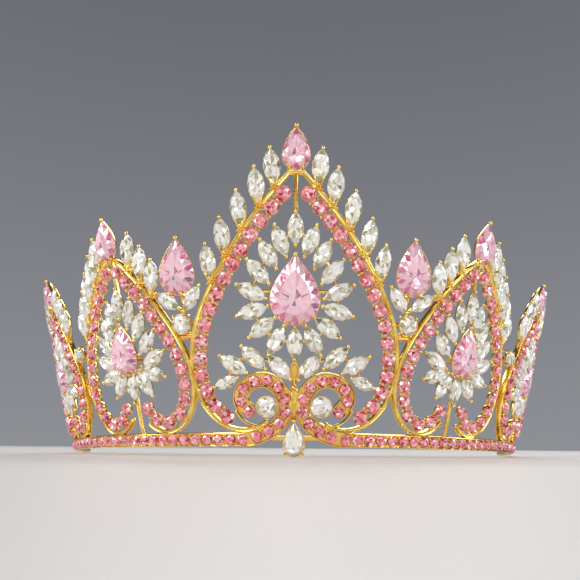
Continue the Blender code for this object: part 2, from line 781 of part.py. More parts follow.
def frame():
    """The soldered metal, with the small clear stones that are fused to it."""
    rails = []
    rings = [leaf_wire()]
    wires = []
    crossings = []
    plates = []
    stones = []
    for arch, _ in arches():
        rails.append(rail_mesh(arch))
        rings.append(flower_ring(arch))
        wires += flower_wires(arch)
        if arch.name != "centre":
            crossings.append(lobe_tie(arch))
        plates += [plate_mesh(width, length, matrix) for _, width, length, matrix in arch_pears(arch)]
        stones += petal_meshes(arch) + crest_meshes(arch, -1) + crest_meshes(arch, 1)
    for side in (-1, 1):
        rings.append(scroll_mesh(side))
        wires += [stem_wire(side), scroll_wire(side)]
        crossings += cross_wires(side) + [stem_leaf_wire(side)]
        plates.append(plate_mesh(STEM_PEAR.width, STEM_PEAR.length, stem_seat(side)))
        stones += leaf_meshes(side) + stem_stones(side)
    groups = {
        "rails": rails, "rings": rings, "wires": wires, "crossings": crossings, "plates": plates,
        "stones": stones}
    obj = united("frame", band_mesh(), [joined(name, meshes) for name, meshes in groups.items()])
    return painted(obj, GOLD)


def pear_stone(name, width, length, matrix, depth=PEAR_DEPTH):
    """Pink pear as an object of its own."""
    return single(name, large_stone("pear", pear_outline(width, length), PEAR_CROWN, depth, matrix))


def round_stone(name, diameter, matrix):
    """Clear round stone as an object of its own."""
    outline = round_outline(diameter / 2, 10)
    return single(name, large_stone("round", outline, ROUND_CROWN, ROUND_DEPTH, matrix))


def pendant_seat():
    """Seat of the pendant, at the height where its round end touches the floor."""
    rise = on_cone(0.0, 1.0, PENDANT_OUT).z - on_cone(0.0, 0.0, PENDANT_OUT).z
    touching = -on_cone(0.0, 0.0, PENDANT_OUT).z / rise
    return seat(0.0, touching + PENDANT_LENGTH / 2, PENDANT_OUT)


def main():
    """Build every piece."""
    clear_scene()
    frame()
    for arch, side in arches():
        for half in (-1, 1):
            word = {0: {-1: "left", 1: "right"}[half], half: "outer", -half: "inner"}[side]
            name = f"{piece_name(arch, side, 'pinks')}_{word}"
            painted(pink_row(arch, half, name), PINK)
        for what, width, length, matrix in arch_pears(arch):
            painted(pear_stone(piece_name(arch, side, what), width, length, matrix), PALE_PINK)
    for side, word in ((-1, "left"), (1, "right")):
        stem_pear = pear_stone(f"stem_pear_{word}", STEM_PEAR.width, STEM_PEAR.length, stem_seat(side))
        painted(stem_pear, PALE_PINK)
        scroll_angle = math.degrees(SCROLL_ROUND_ACROSS / BAND_RADIUS)
        rounds = (
            ("stem_round", STEM_ANGLE, STEM_ROUND_UP, GIRDLE_OUT, STEM_ROUND_DIAMETER),
            ("gap_round", GAP_ROUND_ANGLE, GAP_ROUND_UP, GIRDLE_OUT, GAP_ROUND_DIAMETER),
            ("scroll_round", scroll_angle, SCROLL_ROUND_UP, SCROLL_ROUND_OUT, SCROLL_ROUND_DIAMETER))
        for name, angle, up, out, diameter in rounds:
            painted(round_stone(f"{name}_{word}", diameter, seat(side * angle, up, out)), CLEAR)
    painted(pear_stone("pendant", PENDANT_WIDTH, PENDANT_LENGTH, pendant_seat(), PENDANT_DEPTH), CLEAR)


parts = bpy.data.collections.new("tiara")
cutters = bpy.data.collections.new("tools")
bpy.context.scene.collection.children.link(parts)
bpy.context.scene.collection.children.link(cutters)
main()
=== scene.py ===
"""Visual model of an open five-arched tiara: gilt metal set with pink and clear cut stones.

Lengths are in millimetres and angles in degrees until a mesh is made. The metal lies on a cone
that stands on the band and leans outwards. A place on it has three numbers: the angle round the
band (0 in front, positive to the right), the height up the slope from the band's lower edge, and
the distance out from the cone.
"""

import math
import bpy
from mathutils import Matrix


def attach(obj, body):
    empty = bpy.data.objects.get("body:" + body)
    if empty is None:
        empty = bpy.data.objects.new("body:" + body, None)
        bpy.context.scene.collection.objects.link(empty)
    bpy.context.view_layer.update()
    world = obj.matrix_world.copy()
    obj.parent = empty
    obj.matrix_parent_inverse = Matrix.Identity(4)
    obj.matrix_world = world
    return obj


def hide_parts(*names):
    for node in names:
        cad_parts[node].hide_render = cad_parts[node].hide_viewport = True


bl_info = {
    "name": "Five-Arched Tiara",
    "version": (1, 0, 0),
    "blender": (4, 5, 0),
    "location": "View3D > Sidebar > Tiara",
    "description": "Builds the metal and the cut stones of an open five-arched tiara",
    "category": "Add Mesh",
}

from collections import namedtuple

import bpy
import numpy as np
from mathutils import Matrix, Vector

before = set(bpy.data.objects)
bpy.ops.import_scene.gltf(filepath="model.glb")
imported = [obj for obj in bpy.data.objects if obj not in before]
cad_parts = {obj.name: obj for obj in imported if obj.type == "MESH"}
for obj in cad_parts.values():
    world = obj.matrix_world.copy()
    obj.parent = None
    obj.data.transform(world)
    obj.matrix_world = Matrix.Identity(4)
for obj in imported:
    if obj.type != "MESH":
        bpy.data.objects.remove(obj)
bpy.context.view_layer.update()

MM = 0.001
SIDES = ((-1, "left"), (1, "right"))

# The band and the cone that everything lies on
BAND_RADIUS = 80.0
BAND_HEIGHT = 3.7
BAND_THICKNESS = 1.6
BAND_HALF_ANGLE = 86.0
END_TAB_LENGTH = 8.0
LEAN = 14.0
FRONT_RAISED = 1.95
RING_CENTRE_Y = 48.401
BAND_STONE_FIRST = 9.9
BAND_FULL_FROM = 9.6
BAND_NARROWING = 4.7
FRONT_BAR_LOW = 1.6
FRONT_BAR_HIGH = 2.8
BAND_STONE_PITCH = 2.45
BAND_STONES = 31
BAND_STONE_OUT = 0.55
BAND_BEAD = 0.34
BAND_BEAD_ASIDE = 0.95
BAND_BEAD_OUT = 0.75

# The arches: the line of the small pink stones on one half of the widest arch, as distance
# across from its axis and height
LINE_BASE = 6.0
ARCH_LINE = (
    (2.7, 66.9),
    (10.0, 56.5),
    (16.5, 45.2),
    (20.9, 36.0),
    (23.0, 28.6),
    (23.6, 21.0),
    (22.4, 15.0),
    (20.2, 10.9),
    (17.0, 8.0),
    (13.4, 7.1),
    (10.0, 7.9),
    (6.6, 10.8),
    (4.6, 16.0),
)
ARCH_APEX = 72.4
APEX_HALF_WIDTH = 1.5
RAIL_FROM_STONES = 2.65
RAIL_DEPTH = 1.7
RAIL_END_BALL = 0.85
AXIS_SPAN = 60.0

# centre: angle of the arch's axis; fan: how far that turns over a height of AXIS_SPAN; width and
# height: shares of the widest arch; pinks: stones in a row, which takes up the line from begin to
# pinks_end; rail_end: share of the line at which the rail ends; near and far: heights of the rail
# under its crest stones, on the half towards the front and on the other
Arch = namedtuple("Arch", "name centre fan width height pinks begin pinks_end rail_end near far")
ARCHES = {
    "centre": Arch(
        "centre", 0.0, 0.0, 1.015, 1.0, 16, 0.0, 0.79, 0.90,
        (68.4, 63.7, 57.9, 51.2, 44.5), (68.4, 63.7, 57.9, 51.2, 44.5)),
    "side": Arch(
        "side", 32.1, 3.0, 0.72, 0.73, 15, 0.0, 0.96, 0.93,
        (50.4, 46.2, 42.0), (51.2, 47.0, 42.4, 37.4, 32.4)),
    "outer": Arch(
        "outer", 62.0, 0.0, 0.61, 0.62, 13, 0.02, 0.94, 0.92,
        (43.2, 39.0, 34.6), (43.2, 39.0)),
}
CREST_RISE = 5.6
CREST_LEAN = 6.0
CREST_SCALE = 1.06
CREST_WIDER = 1.15
CREST_NEAR_SHIFT = 0.7

# The rows of pink stones: their share of the full size, how far each is turned from the last,
# the balls between them and the strip behind them
CENTRE_PINK_SHARE = 0.98
OTHER_PINK_SHARE = 0.92
PINK_TURN = 11.0
ROW_BALL = 0.42
ROW_BALL_ASIDE = 0.33
ROW_BALL_OUT = 0.25
ROW_STRIP_WIDTH = 1.1
ROW_STRIP_DEPTH = 0.9

# Petals of one half of each flower, from the arch's axis and the flower's middle.
# lean: how far the petal's outer tip is turned from straight up towards the side.
Petal = namedtuple("Petal", "across up lean")
Pear = namedtuple("Pear", "width length up")
Flower = namedtuple("Flower", "petals petal_scale pear top_pear")
FLOWERS = {
    "centre": Flower((
        Petal(0.0, 16.1, 0.0),
        Petal(3.4, 12.9, 21.0),
        Petal(6.2, 9.4, 29.0),
        Petal(8.6, 5.0, 41.0),
        Petal(10.3, -0.2, 64.0),
        Petal(10.2, -5.4, 106.0),
        Petal(7.9, -9.8, 126.0),
        Petal(4.5, -13.3, 152.0),
        Petal(0.0, -14.0, 180.0),
    ), 1.0, Pear(13.2, 18.2, 41.8), Pear(7.4, 10.9, 78.5)),
    "side": Flower((
        Petal(0.0, 13.4, 0.0),
        Petal(3.2, 10.2, 14.0),
        Petal(5.6, 6.2, 28.0),
        Petal(7.4, 1.5, 42.0),
        Petal(8.6, -3.2, 64.0),
        Petal(7.8, -7.4, 106.0),
        Petal(4.4, -10.0, 146.0),
        Petal(0.0, -11.0, 180.0),
    ), 1.0, Pear(10.2, 14.4, 28.2), Pear(8.2, 11.8, 60.0)),
    "outer": Flower((
        Petal(0.0, 10.8, 0.0),
        Petal(3.3, 7.4, 18.0),
        Petal(5.4, 3.4, 36.0),
        Petal(6.9, -1.0, 66.0),
        Petal(6.4, -5.2, 106.0),
        Petal(3.6, -7.8, 146.0),
        Petal(0.0, -8.8, 180.0),
    ), 1.08, Pear(8.4, 11.4, 24.6), Pear(6.6, 9.6, 52.4)),
}
FLOWER_FOOT = BAND_HEIGHT - 0.7
LARGE_PEAR_HALF = 20
TOP_PEAR_HALF = 12

# Leaves between the centre flower and the scrolls, and the stones of the two stems
Leaf = namedtuple("Leaf", "across up lean scale")
LEAVES = (
    Leaf(3.7, 21.4, 42.0, 1.0),
    Leaf(10.2, 24.1, 47.0, 1.0),
    Leaf(15.4, 22.3, 57.0, 1.0),
    Leaf(17.5, 17.4, 110.0, 0.8),
)
LEAF_WIRE_START = 19.0
LEAF_STALK = ((0.55, 9.0, 0.2), (0.45, 12.0, 0.4), (0.5, 15.5, 0.5))
LEAF_STALK_WIDTH = 0.7
LEAF_BALL = 0.85
LEAF_BALL_UP = 16.0
POD_LENGTH = 5.6
POD_WIDTH = 2.0
POD_UP = 20.6
STEM_ANGLE = 20.4
STEM_PEAR = Pear(10.7, 15.2, 49.4)
STEM_PEAR_LEAN = -4.0
STEM_FOOT = 30.5
STEM_ROUND_UP = 33.8
STEM_BAR_LENGTH = 4.2
STEM_BAR_DROP = 3.5
STEM_LEAVES = (Leaf(-3.3, 40.6, -38.0, 0.95), Leaf(3.3, 40.4, 56.0, 0.95))
GAP_ROUND_ANGLE = 49.4
GAP_ROUND_UP = 29.4
LARGER_ROUND = 1.12
CROSS_WIRE_WIDER = 1.8
RAIL_UPPER_SHARE = 0.7

# The scrolls: places of the pink stones along one of them, from the band to its curled end
SCROLL_LINE = (
    (13.3, 1.85),
    (10.1, 2.6),
    (7.0, 4.0),
    (4.1, 6.1),
    (2.35, 9.1),
    (2.3, 12.4),
    (3.9, 15.8),
    (6.9, 17.9),
    (10.2, 17.7),
    (13.0, 15.6),
    (13.7, 12.4),
    (11.6, 9.5),
)
SCROLL_WIDTH = 4.2
SCROLL_SAMPLES = 90
SCROLL_OUT = 0.35
SCROLL_STONE_OUT = 1.0
SCROLL_STONE_TURN = 17.0
SCROLL_BEAD = 0.36
SCROLL_BEAD_OUT = 1.05
SCROLL_ROUND = (6.9, 11.0)
SCROLL_ROUND_OUT = 1.95
SCROLL_CRESCENT = (
    (15.2, 9.6, 0.2), (13.6, 7.2, 0.2), (11.2, 5.8, 0.2), (8.6, 5.6, 0.3), (6.2, 6.6, 0.4), (4.2, 8.6, 0.4))

PENDANT_WIDTH = 6.0
PENDANT_LENGTH = 9.9
PENDANT_OUT = 3.1
PENDANT_RIM = 0.3

# Distances out from the cone, and how stones sit in their settings
GIRDLE_OUT = 0.75
PINK_OUT = 0.85
WIRE_OUT = -0.45
BACK_WIRE_OUT = -1.5
MARQUISE_CROWN = 1.15
MARQUISE_BALL = 0.56
PEAR_CROWN = 1.2
PEAR_CROWN_GROWTH = 0.05
PEAR_BALL = 0.62
PEAR_RAISED = 0.6
PEAR_TURNED = 0.45
LINE_SAMPLES = 400
BAND_SAMPLES = 181
WIRE_SAMPLES = 24
BALL_SIDES = 8
CLAW_FOOT = 1.3
STEP = 0.01

# Camera and studio, in metres
CAMERA_DISTANCE = 0.26025
CAMERA_HEIGHT = 0.0028
CAMERA_PITCH = 7.5
CAMERA_ROLL = 0.5
FOCAL_PIXELS = 663.0
PRINCIPAL_RIGHT = 4.5
PRINCIPAL_DOWN = 69.7
FRAME_PIXELS = 580.0
SENSOR = 36.0
FLOOR_RADIUS = 1.5
FLOOR_SEGMENTS = 64
FLOOR_RINGS = 12

# Each lamp is a rectangle that faces LAMP_AIM
Lamp = namedtuple("Lamp", "name place size power colour")
LAMP_AIM = (0.0, 0.0, 0.04)
LAMPS = (
    Lamp("key", (-0.80, -1.00, 1.06), (0.60, 0.60), 11.4, (1.0, 0.98, 0.95)),
    Lamp("fill", (1.10, -0.84, 0.56), (0.44, 0.80), 5.2, (0.97, 0.98, 1.0)),
    Lamp("front", (0.0, -1.60, 0.56), (1.20, 0.24), 3.6, (1.0, 1.0, 1.0)),
    Lamp("rim", (0.20, 0.90, 0.96), (1.00, 0.40), 7.6, (1.0, 0.97, 0.93)),
    Lamp("low_left", (-1.00, -0.20, 0.36), (0.20, 0.60), 2.4, (1.0, 0.98, 0.96)),
    Lamp("low_right", (1.00, 0.10, 0.36), (0.20, 0.60), 2.4, (1.0, 0.98, 0.96)),
)
FLOOR_COLOUR = (0.80, 0.79, 0.78, 1.0)
HORIZON_LIGHT = (0.29, 0.30, 0.32, 1.0)
OVERHEAD_LIGHT = (0.08, 0.08, 0.10, 1.0)

# The kinds of foiled glass, whose facets carry painted light. The colours after the name: the painted shadow
# on the darkest facets and the painted glints. sparkle: strength of the painted glints; cells: painted inner
# reflections in a metre; tilt: how much they lean; the last: how much the painted light of a piece's facets
# differs at random
Glass = namedtuple("Glass", "colour dark spark metallic cells facet_weight sparkle tilt tone_spread")
GLASSES = {
    "pink_stone": Glass(
        "pink", (0.25, 0.01, 0.02), (1.0, 0.80, 0.78), 0.35, 1300.0, 0.9, 0.7, 0.25, 0.2),
    "pale_pink_stone": Glass(
        "pale_pink", (0.30, 0.16, 0.24), (1.0, 0.92, 0.94), 0.3, 600.0, 1.0, 0.12, 0.1, 0.04),
    "clear_stone": Glass(
        "clear", (0.21, 0.20, 0.14), (1.0, 1.0, 1.0), 0.22, 700.0, 0.85, 0.8, 0.4, 0.2),
}
# Random spread of the painted light level between the facets of one cut
FACET_SPREAD = 0.12
FACET_SEED = 1
SHARP_ANGLE = 42.0

# Each face of a shape carries a painted light level, which only the stones' finishes read
Shape = namedtuple("Shape", "points corners sizes tones")


class TiaraSizes(bpy.types.PropertyGroup):
    """Sizes of the stones and wires."""

    pink_diameter: bpy.props.FloatProperty(
        name="Arch Pink", description="Diameter of a pink stone in the arches", default=0.0043, unit="LENGTH")
    small_pink_diameter: bpy.props.FloatProperty(
        name="Band Pink", description="Diameter of a pink stone in the band and scrolls", default=0.0033,
        unit="LENGTH")
    round_diameter: bpy.props.FloatProperty(
        name="Clear Round", description="Diameter of a clear round stone", default=0.0050, unit="LENGTH")
    marquise_length: bpy.props.FloatProperty(
        name="Marquise Length", description="Length of a full-size clear marquise", default=0.0088,
        unit="LENGTH")
    marquise_width: bpy.props.FloatProperty(
        name="Marquise Width", description="Width of a full-size clear marquise", default=0.0043,
        unit="LENGTH")
    rail_width: bpy.props.FloatProperty(
        name="Rail Width", description="Width of an arch's rail", default=0.0012, unit="LENGTH")
    wire_width: bpy.props.FloatProperty(
        name="Wire Width", description="Width of the thin wires", default=0.0009, unit="LENGTH")


class TiaraColours(bpy.types.PropertyGroup):
    """Colours of the metal and the stones."""

    gold: bpy.props.FloatVectorProperty(
        name="Gold", description="Lit colour of the gilding", subtype="COLOR", default=(1.0, 0.76, 0.21))
    gold_shade: bpy.props.FloatVectorProperty(
        name="Gold Shade", description="Deeper tone of the gilding", subtype="COLOR",
        default=(0.84, 0.42, 0.06))
    # Each stone colour comes as a lit copy and a painted shade copy; facets take one or the other by their
    # painted light level
    pink: bpy.props.FloatVectorProperty(
        name="Pink", description="Lit facets of the small pink stones", subtype="COLOR",
        default=(1.0, 0.33, 0.35))
    pink_deep: bpy.props.FloatVectorProperty(
        name="Pink Painted Shade", description="Dark facets of the small pink stones", subtype="COLOR",
        default=(0.52, 0.03, 0.07))
    pale_pink: bpy.props.FloatVectorProperty(
        name="Pale Pink", description="Lit facets of the pears", subtype="COLOR", default=(0.99, 0.64, 0.72))
    pale_pink_deep: bpy.props.FloatVectorProperty(
        name="Pale Pink Painted Shade", description="Dark facets of the pears", subtype="COLOR",
        default=(0.74, 0.14, 0.29))
    clear: bpy.props.FloatVectorProperty(
        name="Clear", description="Lit facets of the clear stones", subtype="COLOR",
        default=(1.0, 0.98, 0.89))
    clear_deep: bpy.props.FloatVectorProperty(
        name="Clear Painted Shade", description="Dark facets of the clear stones", subtype="COLOR",
        default=(0.44, 0.40, 0.21))


# Places on the cone

def band_lift():
    """Height that brings the lowest corner of the band's ends down to the floor."""
    end = math.radians(BAND_HALF_ANGLE)
    reach = END_TAB_LENGTH * math.sin(end) - BAND_RADIUS * math.cos(end)
    return reach * math.sin(math.radians(FRONT_RAISED)) + BAND_THICKNESS / 2 * math.sin(math.radians(LEAN))


def cone(angle, up, out=0.0):
    """World places: the radius grows by up times sin lean plus out times cos lean.

    The whole cone is then tipped back a little, which raises its front.
    """
    turn = np.radians(np.asarray(angle, float))
    lean = math.radians(LEAN)
    tilt = math.radians(FRONT_RAISED)
    radius = BAND_RADIUS + np.asarray(up) * math.sin(lean) + np.asarray(out) * math.cos(lean)
    x, y, z = np.broadcast_arrays(
        radius * np.sin(turn), -radius * np.cos(turn), up * math.cos(lean) - out * math.sin(lean))
    return np.stack([
        x, y * math.cos(tilt) + z * math.sin(tilt) + RING_CENTRE_Y,
        z * math.cos(tilt) - y * math.sin(tilt) + band_lift()], axis=-1)


def unit(vectors):
    """Vectors divided by their lengths."""
    return vectors / np.linalg.norm(vectors, axis=-1, keepdims=True)


def seats(angle, up, out=0.0, lean=0.0):
    """Origins and axes of seats: width, length (upward, turned by lean) and outward.

    The directions come from small steps up the cone and out from it.
    """
    angle, up, out, lean = np.broadcast_arrays(
        *(np.atleast_1d(np.asarray(value, float)) for value in (angle, up, out, lean)))
    here = cone(angle, up, out)
    upward = unit(cone(angle, up + STEP, out) - here)
    outward = unit(cone(angle, up, out + STEP) - here)
    across = np.cross(upward, outward)
    turn = np.radians(lean)[:, None]
    length = upward * np.cos(turn) + across * np.sin(turn)
    return here, np.stack([np.cross(length, outward), length, outward], axis=1)


def outward_at(angle, up):
    """Unit vectors square to the cone."""
    return unit(cone(angle, up, STEP) - cone(angle, up, 0.0))


def degrees_across(across):
    """Angle round the band of a distance across."""
    return np.degrees(np.asarray(across, float) / BAND_RADIUS)


def smooth_line(points, samples):
    """Catmull-Rom curve: each stretch is a cubic in t whose ends lie on two points."""
    knots = np.array(points, float)
    knots = np.vstack([2 * knots[0] - knots[1], knots, 2 * knots[-1] - knots[-2]])
    steps = np.linspace(0, len(points) - 1, samples)
    index = np.minimum(steps.astype(int), len(points) - 2)
    t = (steps - index)[:, None]
    a, b, c, d = (knots[index + i] for i in range(4))
    return 0.5 * (2 * b + (c - a) * t + (2 * a - 5 * b + 4 * c - d) * t**2 + (3 * b - a - 3 * c + d) * t**3)


def evenly(columns, places, wanted):
    """Columns of a line read at the wanted shares of its length along its world places."""
    steps = np.linalg.norm(np.diff(places, axis=0), axis=1)
    shares = np.concatenate([[0.0], np.cumsum(steps)])
    shares /= shares[-1]
    return np.stack([np.interp(wanted, shares, column) for column in np.asarray(columns).T], axis=1)


def mirrored(arch, side):
    """The arch on one side of the front, its axis turned with it."""
    return arch._replace(centre=side * arch.centre, fan=side * arch.fan)


def arch_angle(arch, across, up):
    """Angle round the band of a point given from an arch's own axis."""
    return arch.centre + arch.fan * np.asarray(up) / AXIS_SPAN + degrees_across(across)


def arch_places(arch, rows, side=1):
    """Places on the cone from rows of distance across from an arch's axis, height and distance out."""
    across, up, out = np.array(rows, float).T
    return np.column_stack([arch_angle(arch, side * across, up), up, out])


def arch_height(arch, up):
    """Height on a scaled arch of a height on the widest arch."""
    return LINE_BASE + (up - LINE_BASE) * arch.height


def arch_half(arch, side, begin, end, count):
    """Angle and height of evenly spaced places along one half of an arch's line of stones."""
    line = smooth_line(ARCH_LINE, LINE_SAMPLES)
    up = arch_height(arch, line[:, 1])
    angle = arch_angle(arch, side * line[:, 0] * arch.width, up)
    chosen = evenly(np.stack([angle, up], axis=1), cone(angle, up), np.linspace(begin, end, count))
    return chosen[:, 0], chosen[:, 1]


def along_and_away(angle, up, side):
    """World places of a line with unit vectors along it and away from the arch's inside."""
    places = cone(angle, up)
    along = unit(np.gradient(places, axis=0))
    away = unit(np.cross(along, outward_at(angle, up))) * -side
    return places, along, away


def rail_line(arch, side):
    """Places of one half of a rail, a fixed distance outside the pink stones, with outward vectors."""
    angle, up = arch_half(arch, side, 0.0, arch.rail_end, LINE_SAMPLES)
    places, _, away = along_and_away(angle, up, side)
    return places + away * RAIL_FROM_STONES, outward_at(angle, up)


# Meshes as whole arrays

def joined(shapes):
    """One shape that holds all the given ones."""
    offsets = np.cumsum([0] + [len(shape.points) for shape in shapes[:-1]])
    return Shape(
        np.concatenate([shape.points for shape in shapes]),
        np.concatenate([shape.corners + offset for shape, offset in zip(shapes, offsets)]),
        np.concatenate([shape.sizes for shape in shapes]),
        np.concatenate([shape.tones for shape in shapes]))


def stamped(shape, placed):
    """A copy of the shape on each seat: origin plus the local numbers times the seat's axes."""
    origins, axes = placed
    points = origins[:, None, :] + np.einsum("mk,nkj->nmj", shape.points, axes)
    offsets = np.arange(len(origins))[:, None] * len(shape.points)
    return Shape(
        points.reshape(-1, 3), (shape.corners[None, :] + offsets).ravel(),
        np.tile(shape.sizes, len(origins)), np.tile(shape.tones, len(origins)))


def moved(shape, x=0.0, y=0.0, z=0.0, turn=0.0):
    """The shape turned about Z and moved."""
    angle = math.radians(turn)
    axes = np.array([
        [math.cos(angle), math.sin(angle), 0.0], [-math.sin(angle), math.cos(angle), 0.0], [0.0, 0.0, 1.0]])
    return shape._replace(points=shape.points @ axes + np.array([x, y, z]))


def closed_grid(rings, looped=False):
    """Surface over rings of points, each joined to the next, with flat ends or joined in a loop."""
    count, sides = rings.shape[:2]
    index = np.arange(count * sides).reshape(count, sides)
    after = np.roll(index, -1, axis=0) if looped else index[1:]
    before = index if looped else index[:-1]
    quads = np.stack([before, np.roll(before, -1, axis=1), np.roll(after, -1, axis=1), after], axis=-1)
    corners = [quads.reshape(-1)]
    sizes = [np.full(quads.size // 4, 4)]
    if not looped:
        corners += [index[0][::-1], index[-1]]
        sizes.append(np.array([sides, sides]))
    sizes = np.concatenate(sizes)
    return Shape(rings.reshape(-1, 3), np.concatenate(corners), sizes, np.full(len(sizes), 0.5))


def profile_ring(half_width, half_depth, sides):
    """Ellipse, clockwise: cos and sin of even steps times the half width and the half depth."""
    angle = -2 * np.pi * (np.arange(sides) + 0.5) / sides
    return np.stack([np.cos(angle) * half_width, np.sin(angle) * half_depth], axis=1)


def swept(path, outward, profile, closed=False, scale=None):
    """A profile carried along a path: place plus side times across plus outward times depth."""
    along = unit(np.gradient(np.vstack([path[-2:], path, path[:2]]), axis=0)[2:-2]) if closed else unit(
        np.gradient(path, axis=0))
    side = unit(np.cross(along, outward))
    out = np.cross(side, along)
    scale = np.ones(len(path)) if scale is None else scale
    local = profile[None, :, :] * scale[:, None, None]
    rings = path[:, None, :] + side[:, None, :] * local[..., :1] + out[:, None, :] * local[..., 1:]
    return closed_grid(rings, looped=closed)


def ends_repeated(rows):
    """Rows with the first and the last one three more times."""
    return np.vstack([np.repeat(rows[:1], 3, axis=0), rows, np.repeat(rows[-1:], 3, axis=0)])


def wire(path, outward, width, depth=None, sides=8, closed=False):
    """Wire with rounded ends: the end rings shrink as the square root of one minus the distance squared."""
    radius = width / 2
    profile = profile_ring(radius, (depth or width) / 2, sides)
    if closed:
        return swept(path, outward, profile, closed=True)
    reach = np.array([0.98, 0.85, 0.5])
    first = path[0] - unit(path[1] - path[0]) * radius * reach[:, None]
    last = path[-1] + unit(path[-1] - path[-2]) * radius * reach[::-1, None]
    ends = np.sqrt(1 - reach**2)
    path = np.vstack([first, path, last])
    scale = np.concatenate([ends, np.ones(len(path) - 6), ends[::-1]])
    return swept(path, ends_repeated(outward), profile, scale=scale)


def grooved_profile(width, depth):
    """Bar section with a shallow groove along its front, so that it shows two bright edges."""
    half, deep = width / 2, depth / 2
    right = np.array([
        (0.0, deep * 0.78), (half * 0.3, deep * 0.82), (half * 0.62, deep), (half * 0.86, deep * 0.96),
        (half, deep * 0.75), (half, -deep * 0.75), (half * 0.6, -deep)])
    return np.vstack([right, right[:0:-1] * [-1.0, 1.0]])


def cone_wire(places, width, **more):
    """Wire through places on the cone, given as angle, height and distance out."""
    table = np.array(places, float)
    if len(table) > 2:
        table = smooth_line(table, WIRE_SAMPLES)
    else:
        table = np.stack([
            np.interp(np.linspace(0, len(table) - 1, WIRE_SAMPLES), np.arange(len(table)), column)
            for column in table.T], axis=1)
    return wire(cone(*table.T), outward_at(table[:, 0], table[:, 1]), width, **more)


def ball(radius, flatness=1.0):
    """Small ball: rings of radius sin t at height minus cos t, with small flat poles."""
    turn = np.radians([22.0, 50.0, 75.0, 100.0, 125.0, 155.0])
    angle = 2 * np.pi * np.arange(BALL_SIDES) / BALL_SIDES
    rings = np.stack([
        np.outer(np.sin(turn), np.cos(angle)), np.outer(np.sin(turn), np.sin(angle)),
        np.repeat(-np.cos(turn)[:, None] * flatness, BALL_SIDES, axis=1)], axis=-1)
    return closed_grid(rings * radius)


def claw(height, radius, reach):
    """Claw that rises beside a stone and bends in over it; X points away from the stone."""
    path = np.array([
        (0.35, 0.0, -CLAW_FOOT), (0.42, 0.0, 0.0), (0.32, 0.0, height * 0.55), (0.02, 0.0, height * 0.9),
        (-reach, 0.0, height)])
    path = smooth_line(path, 9)
    return wire(path, np.repeat([[0.0, 1.0, 0.0]], len(path), axis=0), 2 * radius, sides=6)


# Outlines of stones, anticlockwise, with an even number of corners

def round_outline(diameter, corners=16):
    """Circle: cos and sin of even steps."""
    angle = 2 * np.pi * np.arange(corners) / corners
    return np.stack([np.cos(angle), np.sin(angle)], axis=1) * diameter / 2


def marquise_outline(length, width, half=8):
    """Boat shape whose width falls off with the 2.3th power of the length."""
    t = np.linspace(-1.0, 1.0, half + 1)
    right = np.stack([width / 2 * (1 - np.abs(t) ** 2.3), length / 2 * t], axis=1)
    return np.vstack([right, right[-2:0:-1] * [-1.0, 1.0]])


def pear_outline(width, length, half):
    """Half circle below, and above it sides that close in with the 1.75th power of the height."""
    round_count = half // 2
    middle = (width - length) / 2
    turn = np.radians(np.linspace(-90.0, 0.0, round_count + 1))
    rise = np.linspace(0.0, 1.0, half - round_count + 1)[1:]
    right = np.vstack([
        np.stack([width / 2 * np.cos(turn), middle + width / 2 * np.sin(turn)], axis=1),
        np.stack([width / 2 * (1 - rise**1.75), middle + (length / 2 - middle) * rise], axis=1)])
    return np.vstack([right, right[-2:0:-1] * [-1.0, 1.0]])


def outline_normals(outline):
    """Unit vectors out of an anticlockwise outline: its direction turned a quarter clockwise."""
    ahead = np.roll(outline, -1, axis=0) - np.roll(outline, 1, axis=0)
    return unit(np.stack([ahead[:, 1], -ahead[:, 0]], axis=1))


